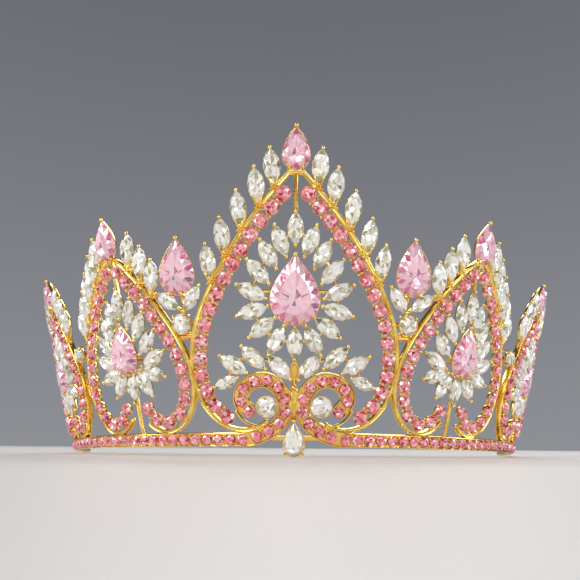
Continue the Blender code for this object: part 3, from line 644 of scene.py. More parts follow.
def cut_stone(outline, crown, depth, table=0.6, waist=0.84, girdle=0.1, inner=0.0, dip=0.14):
    """Brilliant cut: stars, kites and upper facets above the girdle, and a pointed back.

    Table corners lie on every other corner of the outline times table, and the points between
    stars and kites on the others times waist. The foiled back seen through the table is a fan of
    facets that dip to a point below it, with a ring between them in large stones.
    """
    count = len(outline) // 2
    widest = outline[np.argmax(outline[:, 0]), 1]
    shift = np.array([0.0, outline[:, 1].mean()])
    eye = np.array([0.0, widest])

    def ring(points, scale, height, centre=shift):
        flat = centre + (points - centre) * scale
        return np.column_stack([flat, np.full(len(flat), height)])

    top = ring(outline[::2], table, crown)
    rows = [
        top, ring(outline[1::2], waist, crown * 0.55 + girdle * 0.45), ring(outline, 1.0, girdle),
        ring(outline, 1.0, -girdle), [(*shift, -depth)], [(*eye, crown - dip * 2)]]
    i = np.arange(count)
    k = np.arange(2 * count)
    t, m, g, b = i, count + i, 2 * count + k, 4 * count + k
    culet = 6 * count
    t_next, m_before = np.roll(t, -1), np.roll(m, 1)
    g_even, g_odd, g_next = g[::2], g[1::2], np.roll(g[::2], -1)
    # Facets and their painted light levels, lit or shaded by kind: stars, kites, upper facets on either side,
    # girdle and back
    parts = [
        (np.stack([t, m, t_next], axis=1), np.full(count, 0.6)),
        (np.stack([t, m_before, g_even, m], axis=1), 0.35 + 0.5 * (i % 2)),
        (np.stack([m, g_even, g_odd], axis=1), np.full(count, 0.38)),
        (np.stack([m, g_odd, g_next], axis=1), np.full(count, 0.75)),
        (np.stack([g, b, np.roll(b, -1), np.roll(g, -1)], axis=1), np.full(2 * count, 0.3)),
        (np.stack([b, np.full_like(b, culet), np.roll(b, -1)], axis=1), np.full(2 * count, 0.3))]
    if inner:
        middle = (top + np.roll(top, -1, axis=0)) / 2
        middle[:, :2] = eye + (middle[:, :2] - eye) * inner
        middle[:, 2] -= dip
        rows.append(middle)
        r = culet + 2 + i
        wide = i // 3
        # Painted light levels of the fan under the table: mostly lit, some in painted shade
        parts += [
            (np.stack([t, t_next, r], axis=1), 0.92 - 0.35 * (i % 2)),
            (np.stack([r, np.roll(t, -1), np.roll(r, -1)], axis=1), 0.95 - 0.5 * (wide % 3 == 1)),
            (np.stack([r, np.roll(r, -1), np.full_like(r, culet + 1)], axis=1), 0.95 - 0.9 * (wide % 4 == 2))]
    else:
        parts.append((np.stack([t, t_next, np.full_like(t, culet + 1)], axis=1), 0.95 - 0.5 * (i % 2)))
    # Painted light levels vary a little at random from face to face
    random = np.random.default_rng(FACET_SEED)
    tones = np.concatenate([
        np.clip(painted_level + random.normal(0.0, FACET_SPREAD, len(painted_level)), 0.0, 1.0) for _, painted_level in parts])
    return Shape(
        np.vstack(rows), np.concatenate([faces.ravel() for faces, _ in parts]),
        np.concatenate([np.full(len(faces), faces.shape[1]) for faces, _ in parts]), tones)


def setting(outline, rim, foot, lip):
    """Gold cup: rings of the outline, scaled or set out along its normals, from its foot over its lip."""
    normals = outline_normals(outline)
    table = (
        (0.45, 0.0, -foot), (0.8, 0.0, -foot), (0.95, rim * 0.5, -foot * 0.6), (1.0, rim * 0.9, -0.1),
        (1.0, rim, lip * 0.5), (1.0, rim * 0.7, lip), (1.0, rim * 0.2, lip), (0.97, 0.0, -0.02))
    rings = np.stack([
        np.column_stack([outline * scale + normals * set_out, np.full(len(outline), height)])
        for scale, set_out, height in table])
    return closed_grid(rings)


def clawed(outline, corners, height, radius, reach):
    """Claws at some corners of an outline, each turned to point away from the stone."""
    normals = outline_normals(outline)
    made = []
    for corner in corners:
        turn = math.degrees(math.atan2(normals[corner, 1], normals[corner, 0]))
        made.append(moved(claw(height, radius, reach), *outline[corner], turn=turn))
    return joined(made)


# Finishes

def shader_group(name, inputs, outputs):
    """Empty node group with named sockets, given as (name, socket type, default)."""
    group = bpy.data.node_groups.new(name, "ShaderNodeTree")
    for label, kind, default in inputs:
        socket = group.interface.new_socket(label, in_out="INPUT", socket_type=kind)
        socket.default_value = default
    for label, kind in outputs:
        group.interface.new_socket(label, in_out="OUTPUT", socket_type=kind)
    return group, group.nodes.new("NodeGroupInput"), group.nodes.new("NodeGroupOutput")


def add_node(tree, kind, settings=(), values=(), links=()):
    """Node with its settings, socket values and incoming links."""
    made = tree.nodes.new(kind)
    for key, value in settings:
        setattr(made, key, value)
    for key, value in values:
        made.inputs[key].default_value = value
    for key, source in links:
        tree.links.new(source, made.inputs[key])
    return made


def mixed(tree, share, first, second):
    """Colour that goes from the first to the second with the share."""
    return add_node(
        tree, "ShaderNodeMix", (("data_type", "RGBA"),),
        links=((0, share), (6, first), (7, second))).outputs[2]


def eased(tree, value, low, high, values=(), links=()):
    """Smooth step of a value from low to high."""
    return add_node(
        tree, "ShaderNodeMapRange", (("interpolation_type", "SMOOTHSTEP"),),
        (("From Min", low), ("From Max", high)) + values, (("Value", value),) + links).outputs["Result"]


def gilt_group():
    """Gilt metal: slow changes between two golds, fine changes of gloss and a faint cast skin."""
    group, given, result = shader_group(
        "Gilt Surface",
        (("Lit", "NodeSocketColor", (1, 1, 1, 1)), ("Shade", "NodeSocketColor", (1, 1, 1, 1)),
         ("Gloss", "NodeSocketFloat", 0.09)),
        (("Color", "NodeSocketColor"), ("Roughness", "NodeSocketFloat"), ("Height", "NodeSocketFloat")))
    place = add_node(group, "ShaderNodeTexCoord").outputs["Object"]
    slow = add_node(
        group, "ShaderNodeTexNoise", values=(("Scale", 190.0), ("Detail", 3.0)), links=(("Vector", place),))
    fine = add_node(
        group, "ShaderNodeTexNoise", values=(("Scale", 1400.0), ("Detail", 2.0)), links=(("Vector", place),))
    share = add_node(
        group, "ShaderNodeMapRange",
        values=(("From Min", 0.38), ("From Max", 0.66), ("To Min", 0.0), ("To Max", 0.75)),
        links=(("Value", slow.outputs["Fac"]),))
    colour = mixed(group, share.outputs["Result"], given.outputs["Lit"], given.outputs["Shade"])
    gloss = add_node(
        group, "ShaderNodeMath", (("operation", "MULTIPLY_ADD"),), ((1, 0.16),),
        ((0, fine.outputs["Fac"]), (2, given.outputs["Gloss"])))
    group.links.new(colour, result.inputs["Color"])
    group.links.new(gloss.outputs[0], result.inputs["Roughness"])
    group.links.new(fine.outputs["Fac"], result.inputs["Height"])
    return group


def facet_group():
    """Foiled cut glass with painted light: each cell of a fine pattern is one painted inner reflection,
    with its own painted light level and tilt.

    The painted light level is each face's own value and the cell's random one, weighted. It picks the lit
    or the painted shade colour; the darkest facets take a painted shadow colour and some random cells a
    painted glint. The height is the distance from the cell's middle along a random direction, so each cell
    tilts as a plane.
    """
    group, given, result = shader_group(
        "Cut Facets",
        (("Lit", "NodeSocketColor", (1, 1, 1, 1)), ("Deep", "NodeSocketColor", (0, 0, 0, 1)),
         ("Spark", "NodeSocketColor", (1, 1, 1, 1)), ("Dark", "NodeSocketColor", (0, 0, 0, 1)),
         ("Facet", "NodeSocketFloat", 0.5),
         ("Cells", "NodeSocketFloat", 1100.0), ("Facet Weight", "NodeSocketFloat", 0.5),
         ("Sparkle", "NodeSocketFloat", 0.9)),
        (("Color", "NodeSocketColor"), ("Roughness", "NodeSocketFloat"), ("Height", "NodeSocketFloat")))
    place = add_node(group, "ShaderNodeTexCoord").outputs["Object"]
    cells = add_node(
        group, "ShaderNodeTexVoronoi", links=(("Vector", place), ("Scale", given.outputs["Cells"])))
    parts = add_node(group, "ShaderNodeSeparateColor", links=((0, cells.outputs["Color"]),))
    painted_level = add_node(
        group, "ShaderNodeMix", (("data_type", "FLOAT"),),
        links=((0, given.outputs["Facet Weight"]), (2, parts.outputs[0]), (3, given.outputs["Facet"])))
    # Painted light: lit or painted shade colour by level, a painted shadow on the darkest facets and painted
    # glints on some cells
    share = eased(group, painted_level.outputs[0], 0.25, 0.72)
    colour = mixed(group, share, given.outputs["Deep"], given.outputs["Lit"])
    shadow = eased(group, painted_level.outputs[0], 0.05, 0.14, (("To Min", 1.0), ("To Max", 0.0)))
    shaded = mixed(group, shadow, colour, given.outputs["Dark"])
    sparkle = eased(group, parts.outputs[1], 0.70, 0.86, links=(("To Max", given.outputs["Sparkle"]),))
    bright = mixed(group, sparkle, shaded, given.outputs["Spark"])
    away = add_node(
        group, "ShaderNodeVectorMath", (("operation", "SUBTRACT"),),
        links=((0, place), (1, cells.outputs["Position"])))
    lean = add_node(
        group, "ShaderNodeVectorMath", (("operation", "SUBTRACT"),), ((1, (0.5, 0.5, 0.5)),),
        ((0, cells.outputs["Color"]),))
    height = add_node(
        group, "ShaderNodeVectorMath", (("operation", "DOT_PRODUCT"),),
        links=((0, away.outputs[0]), (1, lean.outputs[0])))
    gloss = add_node(
        group, "ShaderNodeMapRange", values=(("To Min", 0.04), ("To Max", 0.2)),
        links=(("Value", parts.outputs[2]),))
    group.links.new(bright, result.inputs["Color"])
    group.links.new(gloss.outputs["Result"], result.inputs["Roughness"])
    group.links.new(height.outputs["Value"], result.inputs["Height"])
    return group


def surfaced(name, group, values, constants, strength, distance):
    """Material whose colour, roughness and bump come from a group, with plain constants on its shader."""
    material = bpy.data.materials.new(name)
    material.use_nodes = True
    tree = material.node_tree
    shader = tree.nodes["Principled BSDF"]
    made = add_node(tree, "ShaderNodeGroup", (("node_tree", group),))
    for key, value in values:
        made.inputs[key].default_value = value
    bump = add_node(
        tree, "ShaderNodeBump", values=(("Strength", strength), ("Distance", distance)),
        links=(("Height", made.outputs["Height"]),))
    tree.links.new(made.outputs["Color"], shader.inputs["Base Color"])
    tree.links.new(made.outputs["Roughness"], shader.inputs["Roughness"])
    tree.links.new(bump.outputs["Normal"], shader.inputs["Normal"])
    for key, value in constants:
        shader.inputs[key].default_value = value
    return material, made


def solid(colour):
    """A colour property as the four numbers of a colour socket."""
    return (*colour, 1.0)


def gold_material():
    """Bright yellow plating with warmer shadows."""
    colours = bpy.context.scene.tiara_colours
    group = bpy.data.node_groups.get("Gilt Surface") or gilt_group()
    values = (("Lit", solid(colours.gold)), ("Shade", solid(colours.gold_shade)))
    return surfaced("gold", group, values, (("Metallic", 1.0),), 0.15, 0.00005)[0]


def stone_material(name):
    """Foiled glass of one colour, whose facets read the painted light level of each face from the mesh."""
    glass = GLASSES[name]
    colours = bpy.context.scene.tiara_colours
    group = bpy.data.node_groups.get("Cut Facets") or facet_group()
    values = (
        ("Lit", solid(getattr(colours, glass.colour))),
        ("Deep", solid(getattr(colours, glass.colour + "_deep"))),
        ("Dark", solid(glass.dark)), ("Spark", solid(glass.spark)),
        ("Cells", glass.cells), ("Facet Weight", glass.facet_weight), ("Sparkle", glass.sparkle))
    constants = (("Metallic", glass.metallic), ("Coat Weight", 1.0), ("Coat Roughness", 0.03), ("IOR", 1.6))
    material, made = surfaced(name, group, values, constants, 1.0, glass.tilt)
    tree = material.node_tree
    facet = add_node(tree, "ShaderNodeAttribute", (("attribute_name", "facet"),))
    tree.links.new(facet.outputs["Fac"], made.inputs["Facet"])
    return material


def finish(name):
    """One of the four finishes, made when first asked for."""
    known = bpy.data.materials.get(name)
    if known and known.get("tiara_finish"):
        return known
    made = gold_material() if name == "gold" else stone_material(name)
    made.name = name
    made["tiara_finish"] = True
    return made


def add_piece(name, shape, slot, nodes):
    """Mesh object of a shape, flat faced for stones and smooth for metal, riding on the frame."""
    mesh = bpy.data.meshes.new(name)
    mesh.vertices.add(len(shape.points))
    mesh.vertices.foreach_set("co", (shape.points * MM).astype(np.float32).ravel())
    mesh.loops.add(len(shape.corners))
    mesh.loops.foreach_set("vertex_index", shape.corners.astype(np.int32))
    starts = np.concatenate([[0], np.cumsum(shape.sizes)[:-1]])
    mesh.polygons.add(len(shape.sizes))
    mesh.polygons.foreach_set("loop_start", starts.astype(np.int32))
    mesh.update(calc_edges=True)
    smooth = slot == "gold"
    mesh.polygons.foreach_set("use_smooth", np.full(len(shape.sizes), smooth))
    if smooth:
        mesh.set_sharp_from_angle(angle=math.radians(SHARP_ANGLE))
    else:
        # Painted light level of each face: the shape's levels varied at random by name, for the lit, painted
        # shade, painted shadow and glint colours
        random = np.random.default_rng(sum(name.encode()))
        change = random.normal(0.0, GLASSES[slot].tone_spread, len(shape.tones))
        tones = np.clip(shape.tones + change, 0.0, 1.0)
        facet = mesh.attributes.new("facet", "FLOAT", "FACE")
        facet.data.foreach_set("value", tones.astype(np.float32))
    mesh.materials.append(finish(slot))
    obj = bpy.data.objects.new(name, mesh)
    bpy.context.scene.collection.objects.link(obj)
    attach(obj, "root")
    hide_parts(*nodes)


def add_stone(node, pair, placed, slot, gold):
    """A stone that is a node of its own; its setting joins the metal."""
    stone, metal = pair
    add_piece(f"{node}_stone", stamped(stone, placed), slot, [node])
    gold.append(stamped(metal, placed))


def set_stones(pair, placed, stones, gold):
    """A stone and its setting on each seat, for a piece of many stones and its metal."""
    stone, metal = pair
    stones.append(stamped(stone, placed))
    gold.append(stamped(metal, placed))


# Pieces

def size_mm(name):
    """A size of the settings panel in millimetres."""
    return getattr(bpy.context.scene.tiara_sizes, name) / MM


def all_arches():
    """Each arch with its side: 0 in the middle, -1 left, 1 right."""
    yield ARCHES["centre"], 0
    for side in (-1, 1):
        yield mirrored(ARCHES["side"], side), side
        yield mirrored(ARCHES["outer"], side), side


def piece_name(arch, side, what):
    """Plain name of a piece of an arch."""
    return f"{arch.name}_{what}" + {0: "", -1: "_left", 1: "_right"}[side]


def band_shape():
    """The band: a channel section round the head, narrowed to a bar in front, with a tab at each end."""
    angle = np.linspace(-BAND_HALF_ANGLE, BAND_HALF_ANGLE, BAND_SAMPLES)
    narrowed = np.clip((BAND_FULL_FROM - np.abs(angle)) / BAND_NARROWING, 0.0, 1.0)
    low = FRONT_BAR_LOW * narrowed
    high = BAND_HEIGHT + (FRONT_BAR_HIGH - BAND_HEIGHT) * narrowed
    path = cone(angle, (low + high) / 2)
    outward = outward_at(angle, (low + high) / 2)
    scale = (high - low) / BAND_HEIGHT
    _, axes = seats(np.array([-BAND_HALF_ANGLE, BAND_HALF_ANGLE]), BAND_HEIGHT / 2)
    reach = np.array([1.0, 0.94, 0.5])[:, None] * END_TAB_LENGTH
    left = path[0] - axes[0, 0] * reach
    right = path[-1] + axes[1, 0] * reach[::-1]
    path = np.vstack([left, path, right])
    scale = np.concatenate([np.ones(3), scale, np.ones(3)])
    half, thick = BAND_HEIGHT / 2, BAND_THICKNESS / 2
    profile = np.array([
        (-half, -thick + 0.2), (-half, thick - 0.25), (-half + 0.1, thick - 0.05), (-half + 0.22, thick),
        (-half + 0.34, thick - 0.1), (-half + 0.38, thick - 0.4), (half - 0.38, thick - 0.4),
        (half - 0.34, thick - 0.1), (half - 0.22, thick), (half - 0.1, thick - 0.05), (half, thick - 0.25),
        (half, -thick + 0.2), (half - 0.2, -thick), (-half + 0.2, -thick)])
    return swept(path, ends_repeated(outward), profile, scale=scale)


def band_angles():
    """Angles of the band's stones on both sides of the scrolls."""
    right = BAND_STONE_FIRST + BAND_STONE_PITCH * np.arange(BAND_STONES)
    return np.concatenate([-right[::-1], right])


def small_pink(diameter):
    """Pink brilliant with six kites."""
    return cut_stone(round_outline(diameter, 12), crown=diameter * 0.26, depth=diameter * 0.3, girdle=0.08)


def rail_shapes(arch):
    """The arch's rail, up one side, over its apex and down the other, with a ball on each end."""
    apex = arch_height(arch, ARCH_APEX)
    left, left_out = rail_line(arch, -1)
    right, right_out = rail_line(arch, 1)
    across = np.array([-1.0, 1.0]) * APEX_HALF_WIDTH * arch.width
    top_angle = arch_angle(arch, across, apex)
    path = np.vstack([left[::-8], cone(top_angle, apex), right[::8]])
    outward = np.vstack([left_out[::-8], outward_at(top_angle, apex), right_out[::8]])
    ends = path[[0, -1]]
    return [
        swept(path, outward, grooved_profile(size_mm("rail_width"), RAIL_DEPTH)),
        stamped(ball(RAIL_END_BALL), (ends, seats(*cone_place(ends))[1]))]


def crest_places(arch, side):
    """Angles, heights and lean of the crest stones on one half of an arch."""
    outside = arch.centre == 0 or side * arch.centre > 0
    wanted = np.array(arch.far if outside else arch.near)
    places, _ = rail_line(arch, side)
    angles, heights = cone_place(places)
    order = np.argsort(heights)
    foot = np.interp(wanted, heights[order], angles[order])
    lean = side * CREST_LEAN
    shift = 0.0 if outside else side * CREST_NEAR_SHIFT
    across = degrees_across(math.sin(math.radians(lean)) * CREST_RISE + shift)
    return foot + across, wanted + CREST_RISE, lean


def cone_place(places):
    """Angle and height on the cone of world places, the inverse of cone."""
    tilt = math.radians(FRONT_RAISED)
    y = places[:, 1] - RING_CENTRE_Y
    z = places[:, 2] - band_lift()
    level_y = y * math.cos(tilt) - z * math.sin(tilt)
    level_z = y * math.sin(tilt) + z * math.cos(tilt)
    return np.degrees(np.arctan2(places[:, 0], -level_y)), level_z / math.cos(math.radians(LEAN))


def marquise_pair(scale, wider=1.0):
    """A clear marquise and its gold setting with a ball over each tip."""
    length = size_mm("marquise_length") * scale
    width = size_mm("marquise_width") * scale * wider
    outline = marquise_outline(length, width)
    stone = cut_stone(outline, crown=MARQUISE_CROWN * scale, depth=1.0, table=0.58, waist=0.82)
    tip = length / 2
    end = ball(MARQUISE_BALL, flatness=0.9)
    metal = joined([
        setting(outline * 0.94, rim=0.1, foot=1.15, lip=-0.1),
        moved(end, y=tip, z=0.15), moved(end, y=-tip, z=0.15)])
    return stone, metal


def pear_pair(width, length, half, crown=1.7):
    """A pear-cut stone and its gold setting with claws."""
    outline = pear_outline(width, length, half)
    stone = cut_stone(outline, crown, depth=1.2, table=0.64, inner=0.42, dip=0.22)
    metal = joined([
        setting(outline * 0.985, rim=0.24, foot=1.5, lip=0.05),
        clawed(outline, (2, 2 * half - 2), height=0.9, radius=0.34, reach=0.45),
        moved(ball(PEAR_BALL, flatness=0.9), y=length / 2 + 0.15, z=0.3)])
    return stone, metal


def round_pair(diameter):
    """A clear round brilliant and its gold cup with four claws."""
    outline = round_outline(diameter)
    stone = cut_stone(outline, crown=1.2, depth=0.9, table=0.56)
    metal = joined([
        setting(outline * 0.98, rim=0.2, foot=1.0, lip=0.0),
        clawed(outline, (2, 6, 10, 14), height=0.7, radius=0.26, reach=0.3)])
    return stone, metal


def build_band():
    """Band, its row of stones and the beads between them."""
    angle = band_angles()
    between = (angle[1:] + angle[:-1])[np.diff(angle) < 2 * BAND_STONE_PITCH] / 2
    up = BAND_HEIGHT / 2
    beads = [
        stamped(ball(BAND_BEAD), seats(between, up + sign * BAND_BEAD_ASIDE, BAND_BEAD_OUT))
        for sign in (-1, 1)]
    add_piece("band", joined([band_shape()] + beads), "gold", ["frame"])
    stones = stamped(small_pink(size_mm("small_pink_diameter")), seats(angle, up, BAND_STONE_OUT))
    add_piece("band_stones", stones, "pink_stone", ["frame"])


def build_rails():
    """Rails of the five arches."""
    for arch, side in all_arches():
        add_piece(piece_name(arch, side, "rail"), joined(rail_shapes(arch)), "gold", ["frame"])


def build_rows():
    """Rows of pink stones inside the arches, each stone in a cup tied to its neighbours."""
    for arch, side in all_arches():
        diameter = size_mm("pink_diameter") * (OTHER_PINK_SHARE if side else CENTRE_PINK_SHARE)
        outline = round_outline(diameter, 12)
        stone = cut_stone(outline, crown=1.1, depth=1.1)
        cup = setting(outline * 0.97, rim=0.12, foot=1.1, lip=0.0)
        for half in (-1, 1):
            word = {0: {-1: "left", 1: "right"}[half], half: "outer", -half: "inner"}[side]
            node = f"{piece_name(arch, side, 'pinks')}_{word}"
            angle, up = arch_half(arch, half, arch.begin, arch.pinks_end, arch.pinks)
            placed = seats(angle, up, PINK_OUT, PINK_TURN * np.arange(arch.pinks))
            add_piece(f"{node}_stones", stamped(stone, placed), "pink_stone", [node])
            places, _, away = along_and_away(angle, up, half)
            outward = outward_at(angle, up)
            between = (outward[1:] + outward[:-1]) / 2
            middles = (places[1:] + places[:-1]) / 2 + between * (PINK_OUT + ROW_BALL_OUT)
            sideways = unit(away[1:] + away[:-1]) * diameter * ROW_BALL_ASIDE
            axes = placed[1][:-1]
            metal = [stamped(cup, placed)]
            metal += [stamped(ball(ROW_BALL), (middles + sideways * sign, axes)) for sign in (-1, 1)]
            metal.append(wire(places + outward * -0.1, outward, ROW_STRIP_WIDTH, ROW_STRIP_DEPTH))
            add_piece(f"{node}_cups", joined(metal), "gold", [node])


def flower_places(arch):
    """Angle, height and lean of every petal, in order round the flower."""
    flower = FLOWERS[arch.name]
    right = np.array(flower.petals)
    left = right[-2:0:-1] * [-1.0, 1.0, -1.0]
    across, up, lean = np.vstack([right, left]).T
    up = up + flower.pear.up
    return arch_angle(arch, across, up), up, lean


def build_flowers():
    """Petals, the ring that ties them, the pears and the wires of every arch."""
    for arch, side in all_arches():
        flower = FLOWERS[arch.name]
        angle, up, lean = flower_places(arch)
        stone, metal = marquise_pair(flower.petal_scale)
        placed = seats(angle, up, GIRDLE_OUT, lean)
        add_piece(piece_name(arch, side, "petals"), stamped(stone, placed), "clear_stone", ["frame"])
        ring = wire(
            cone(angle, up, WIRE_OUT), outward_at(angle, up), size_mm("wire_width"), closed=True)
        gold = [stamped(metal, placed), ring] + flower_wires(arch)
        turned = side * PEAR_TURNED if arch.name == "side" else 0.0
        for what, pear, half, turn, raised in (
                ("flower_pear", flower.pear, LARGE_PEAR_HALF, turned, PEAR_RAISED),
                ("top_pear", flower.top_pear, TOP_PEAR_HALF, 0.0, 0.0)):
            crown = PEAR_CROWN + pear.width * PEAR_CROWN_GROWTH
            pair = pear_pair(pear.width, pear.length, crown=crown, half=half)
            here = seats(arch_angle(arch, 0.0, pear.up) + turn, pear.up, GIRDLE_OUT + raised)
            add_stone(piece_name(arch, side, what), pair, here, "pale_pink_stone", gold)
        add_piece(piece_name(arch, side, "flower_metal"), joined(gold), "gold", ["frame"])


def flower_wires(arch):
    """Wires that hold a flower: up to the apex, down to the band, and across behind the pear."""
    flower = FLOWERS[arch.name]
    middle = flower.pear.up
    top = middle + flower.petals[0].up
    bottom = middle + flower.petals[-1].up
    apex = arch_height(arch, ARCH_APEX)
    petal = flower.petals[len(flower.petals) // 2]
    level = middle + petal.up
    width = size_mm("wire_width")
    upper = ((0.0, top, -0.3), (0.0, apex, -0.3), (0.0, apex + 3.0, -1.2))
    lower = ((0.0, FLOWER_FOOT, -0.2), (0.0, FLOWER_FOOT + 4.0, 0.1), (0.0, bottom, -0.3))
    behind = ((-petal.across, level, -0.4), (0.0, level, -1.3), (petal.across, level, -0.4))
    return [
        cone_wire(arch_places(arch, upper), width * 1.5, depth=1.2),
        cone_wire(arch_places(arch, lower), width * 1.3),
        cone_wire(arch_places(arch, behind), width)]


def crest_bracket():
    """Foot on the rail, a stalk up the back of the stone and two arms that hug its lower tip."""
    rail = -CREST_RISE
    tip = -size_mm("marquise_length") * CREST_SCALE / 2
    outward = np.array([(0.0, 0.0, 1.0)] * 4)
    arm = np.array([
        (0.55, rail + 0.1, -0.3), (0.6, tip - 0.1, 0.0), (0.75, tip + 0.9, 0.25), (1.35, tip + 2.1, 0.3)])
    arms = [wire(arm * (sign, 1.0, 1.0), outward, 0.75, sides=6) for sign in (-1, 1)]
    stalk = np.array([(0.0, rail - 0.2, -0.6), (0.0, tip, -0.6), (0.0, tip + 1.0, -0.8)])
    foot = np.array([(-1.1, rail - 0.1, -0.2), (0.0, rail + 0.1, 0.0), (1.1, rail - 0.1, -0.2)])
    return joined(arms + [
        wire(stalk, outward[:3], 1.3), wire(foot, outward[:3], 0.9), moved(ball(0.55), y=tip - 0.35, z=0.1)])


def build_crests():
    """Clear marquises that stand on the rails, with their brackets."""
    for arch, side in all_arches():
        pair = marquise_pair(CREST_SCALE, CREST_WIDER if side else 1.0)
        stones = []
        gold = []
        for half in (-1, 1):
            angle, up, lean = crest_places(arch, half)
            placed = seats(angle, up, GIRDLE_OUT, lean)
            set_stones(pair, placed, stones, gold)
            gold.append(stamped(crest_bracket(), placed))
        add_piece(piece_name(arch, side, "crest_stones"), joined(stones), "clear_stone", ["frame"])
        add_piece(piece_name(arch, side, "crest_metal"), joined(gold), "gold", ["frame"])


def build_leaves():
    """Leaves under the centre flower and the pod between them."""
    width = size_mm("wire_width")
    stones = []
    gold = []
    for side, _ in SIDES:
        for leaf in LEAVES:
            placed = seats(side * degrees_across(leaf.across), leaf.up, GIRDLE_OUT, side * leaf.lean)
            set_stones(marquise_pair(leaf.scale), placed, stones, gold)
        vine = [(0.0, LEAF_WIRE_START, WIRE_OUT)] + [(leaf.across, leaf.up, WIRE_OUT) for leaf in LEAVES]
        gold.append(cone_wire(arch_places(ARCHES["centre"], vine, side), width))
        gold.append(cone_wire(arch_places(ARCHES["centre"], LEAF_STALK, side), LEAF_STALK_WIDTH))
    pod = marquise_outline(POD_LENGTH, POD_WIDTH, half=10)
    gold.append(stamped(setting(pod, rim=0.2, foot=0.8, lip=0.5), seats(0.0, POD_UP, 0.6)))
    gold.append(stamped(setting(pod * 0.6, rim=0.25, foot=0.6, lip=0.3), seats(0.0, POD_UP - 0.2, 1.2)))
    gold.append(stamped(ball(LEAF_BALL), seats(0.0, LEAF_BALL_UP, 0.8)))
    add_piece("leaf_stones", joined(stones), "clear_stone", ["frame"])
    add_piece("leaf_metal", joined(gold), "gold", ["frame"])


def build_stems():
    """Stems with a pear, two marquises and a round, and the rounds beyond the side arches."""
    width = size_mm("wire_width")
    for side, word in SIDES:
        gold = []
        stones = []
        pair = pear_pair(STEM_PEAR.width, STEM_PEAR.length, half=LARGE_PEAR_HALF)
        here = seats(side * STEM_ANGLE, STEM_PEAR.up, GIRDLE_OUT, side * STEM_PEAR_LEAN)
        add_stone(f"stem_pear_{word}", pair, here, "pale_pink_stone", gold)
        for leaf in STEM_LEAVES:
            angle = side * (STEM_ANGLE + degrees_across(leaf.across))
            placed = seats(angle, leaf.up, GIRDLE_OUT, side * leaf.lean)
            set_stones(marquise_pair(leaf.scale), placed, stones, gold)
            gold.append(cone_wire([
                (angle, leaf.up, WIRE_OUT), (side * STEM_ANGLE, STEM_ROUND_UP + 3.2, BACK_WIRE_OUT)], width))
        add_piece(f"stem_leaves_{word}", joined(stones), "clear_stone", ["frame"])
        gold.append(cone_wire([
            (side * STEM_ANGLE, STEM_PEAR.up - 2.0, BACK_WIRE_OUT),
            (side * STEM_ANGLE, STEM_FOOT, BACK_WIRE_OUT + 0.4)], width * 1.3))
        reach = degrees_across(STEM_BAR_LENGTH / 2)
        bar = STEM_ROUND_UP - STEM_BAR_DROP
        gold.append(cone_wire([
            (side * STEM_ANGLE - reach, bar, WIRE_OUT),
            (side * STEM_ANGLE + reach, bar, WIRE_OUT)], width * 1.5))
        for node, angle, up, share in (
                ("stem_round", STEM_ANGLE, STEM_ROUND_UP, LARGER_ROUND),
                ("gap_round", GAP_ROUND_ANGLE, GAP_ROUND_UP, 1.0)):
            pair = round_pair(size_mm("round_diameter") * share)
            placed = seats(side * angle, up, GIRDLE_OUT)
            add_stone(f"{node}_{word}", pair, placed, "clear_stone", gold)
        gold += cross_wires(side)
        add_piece(f"stem_metal_{word}", joined(gold), "gold", ["frame"])


def rail_angle(arch, half, up):
    """Angle of a rail's middle at a height, on its part above the widest place."""
    angles, heights = cone_place(rail_line(arch, half)[0])
    upper = slice(0, int(len(heights) * RAIL_UPPER_SHARE))
    order = np.argsort(heights[upper])
    return float(np.interp(up, heights[upper][order], angles[upper][order]))


def cross_wires(side):
    """Wires that join neighbouring arches behind the round stones."""
    side_arch = mirrored(ARCHES["side"], side)
    outer_arch = mirrored(ARCHES["outer"], side)
    made = []
    for near, far, angle, up in (
            (ARCHES["centre"], side_arch, STEM_ANGLE, STEM_ROUND_UP),
            (side_arch, outer_arch, GAP_ROUND_ANGLE, GAP_ROUND_UP)):
        made.append(cone_wire([
            (rail_angle(near, side, up), up, -0.3), (side * angle, up, -1.2),
            (rail_angle(far, -side, up), up, -0.3)], size_mm("wire_width") * CROSS_WIRE_WIDER))
    return made


def scroll_table(side, count):
    """Angle and height of evenly spaced places along a scroll."""
    line = smooth_line(SCROLL_LINE, LINE_SAMPLES)
    angle = side * degrees_across(line[:, 0])
    up = line[:, 1]
    chosen = evenly(np.stack([angle, up], axis=1), cone(angle, up), np.linspace(0.0, 1.0, count))
    return chosen[:, 0], chosen[:, 1]


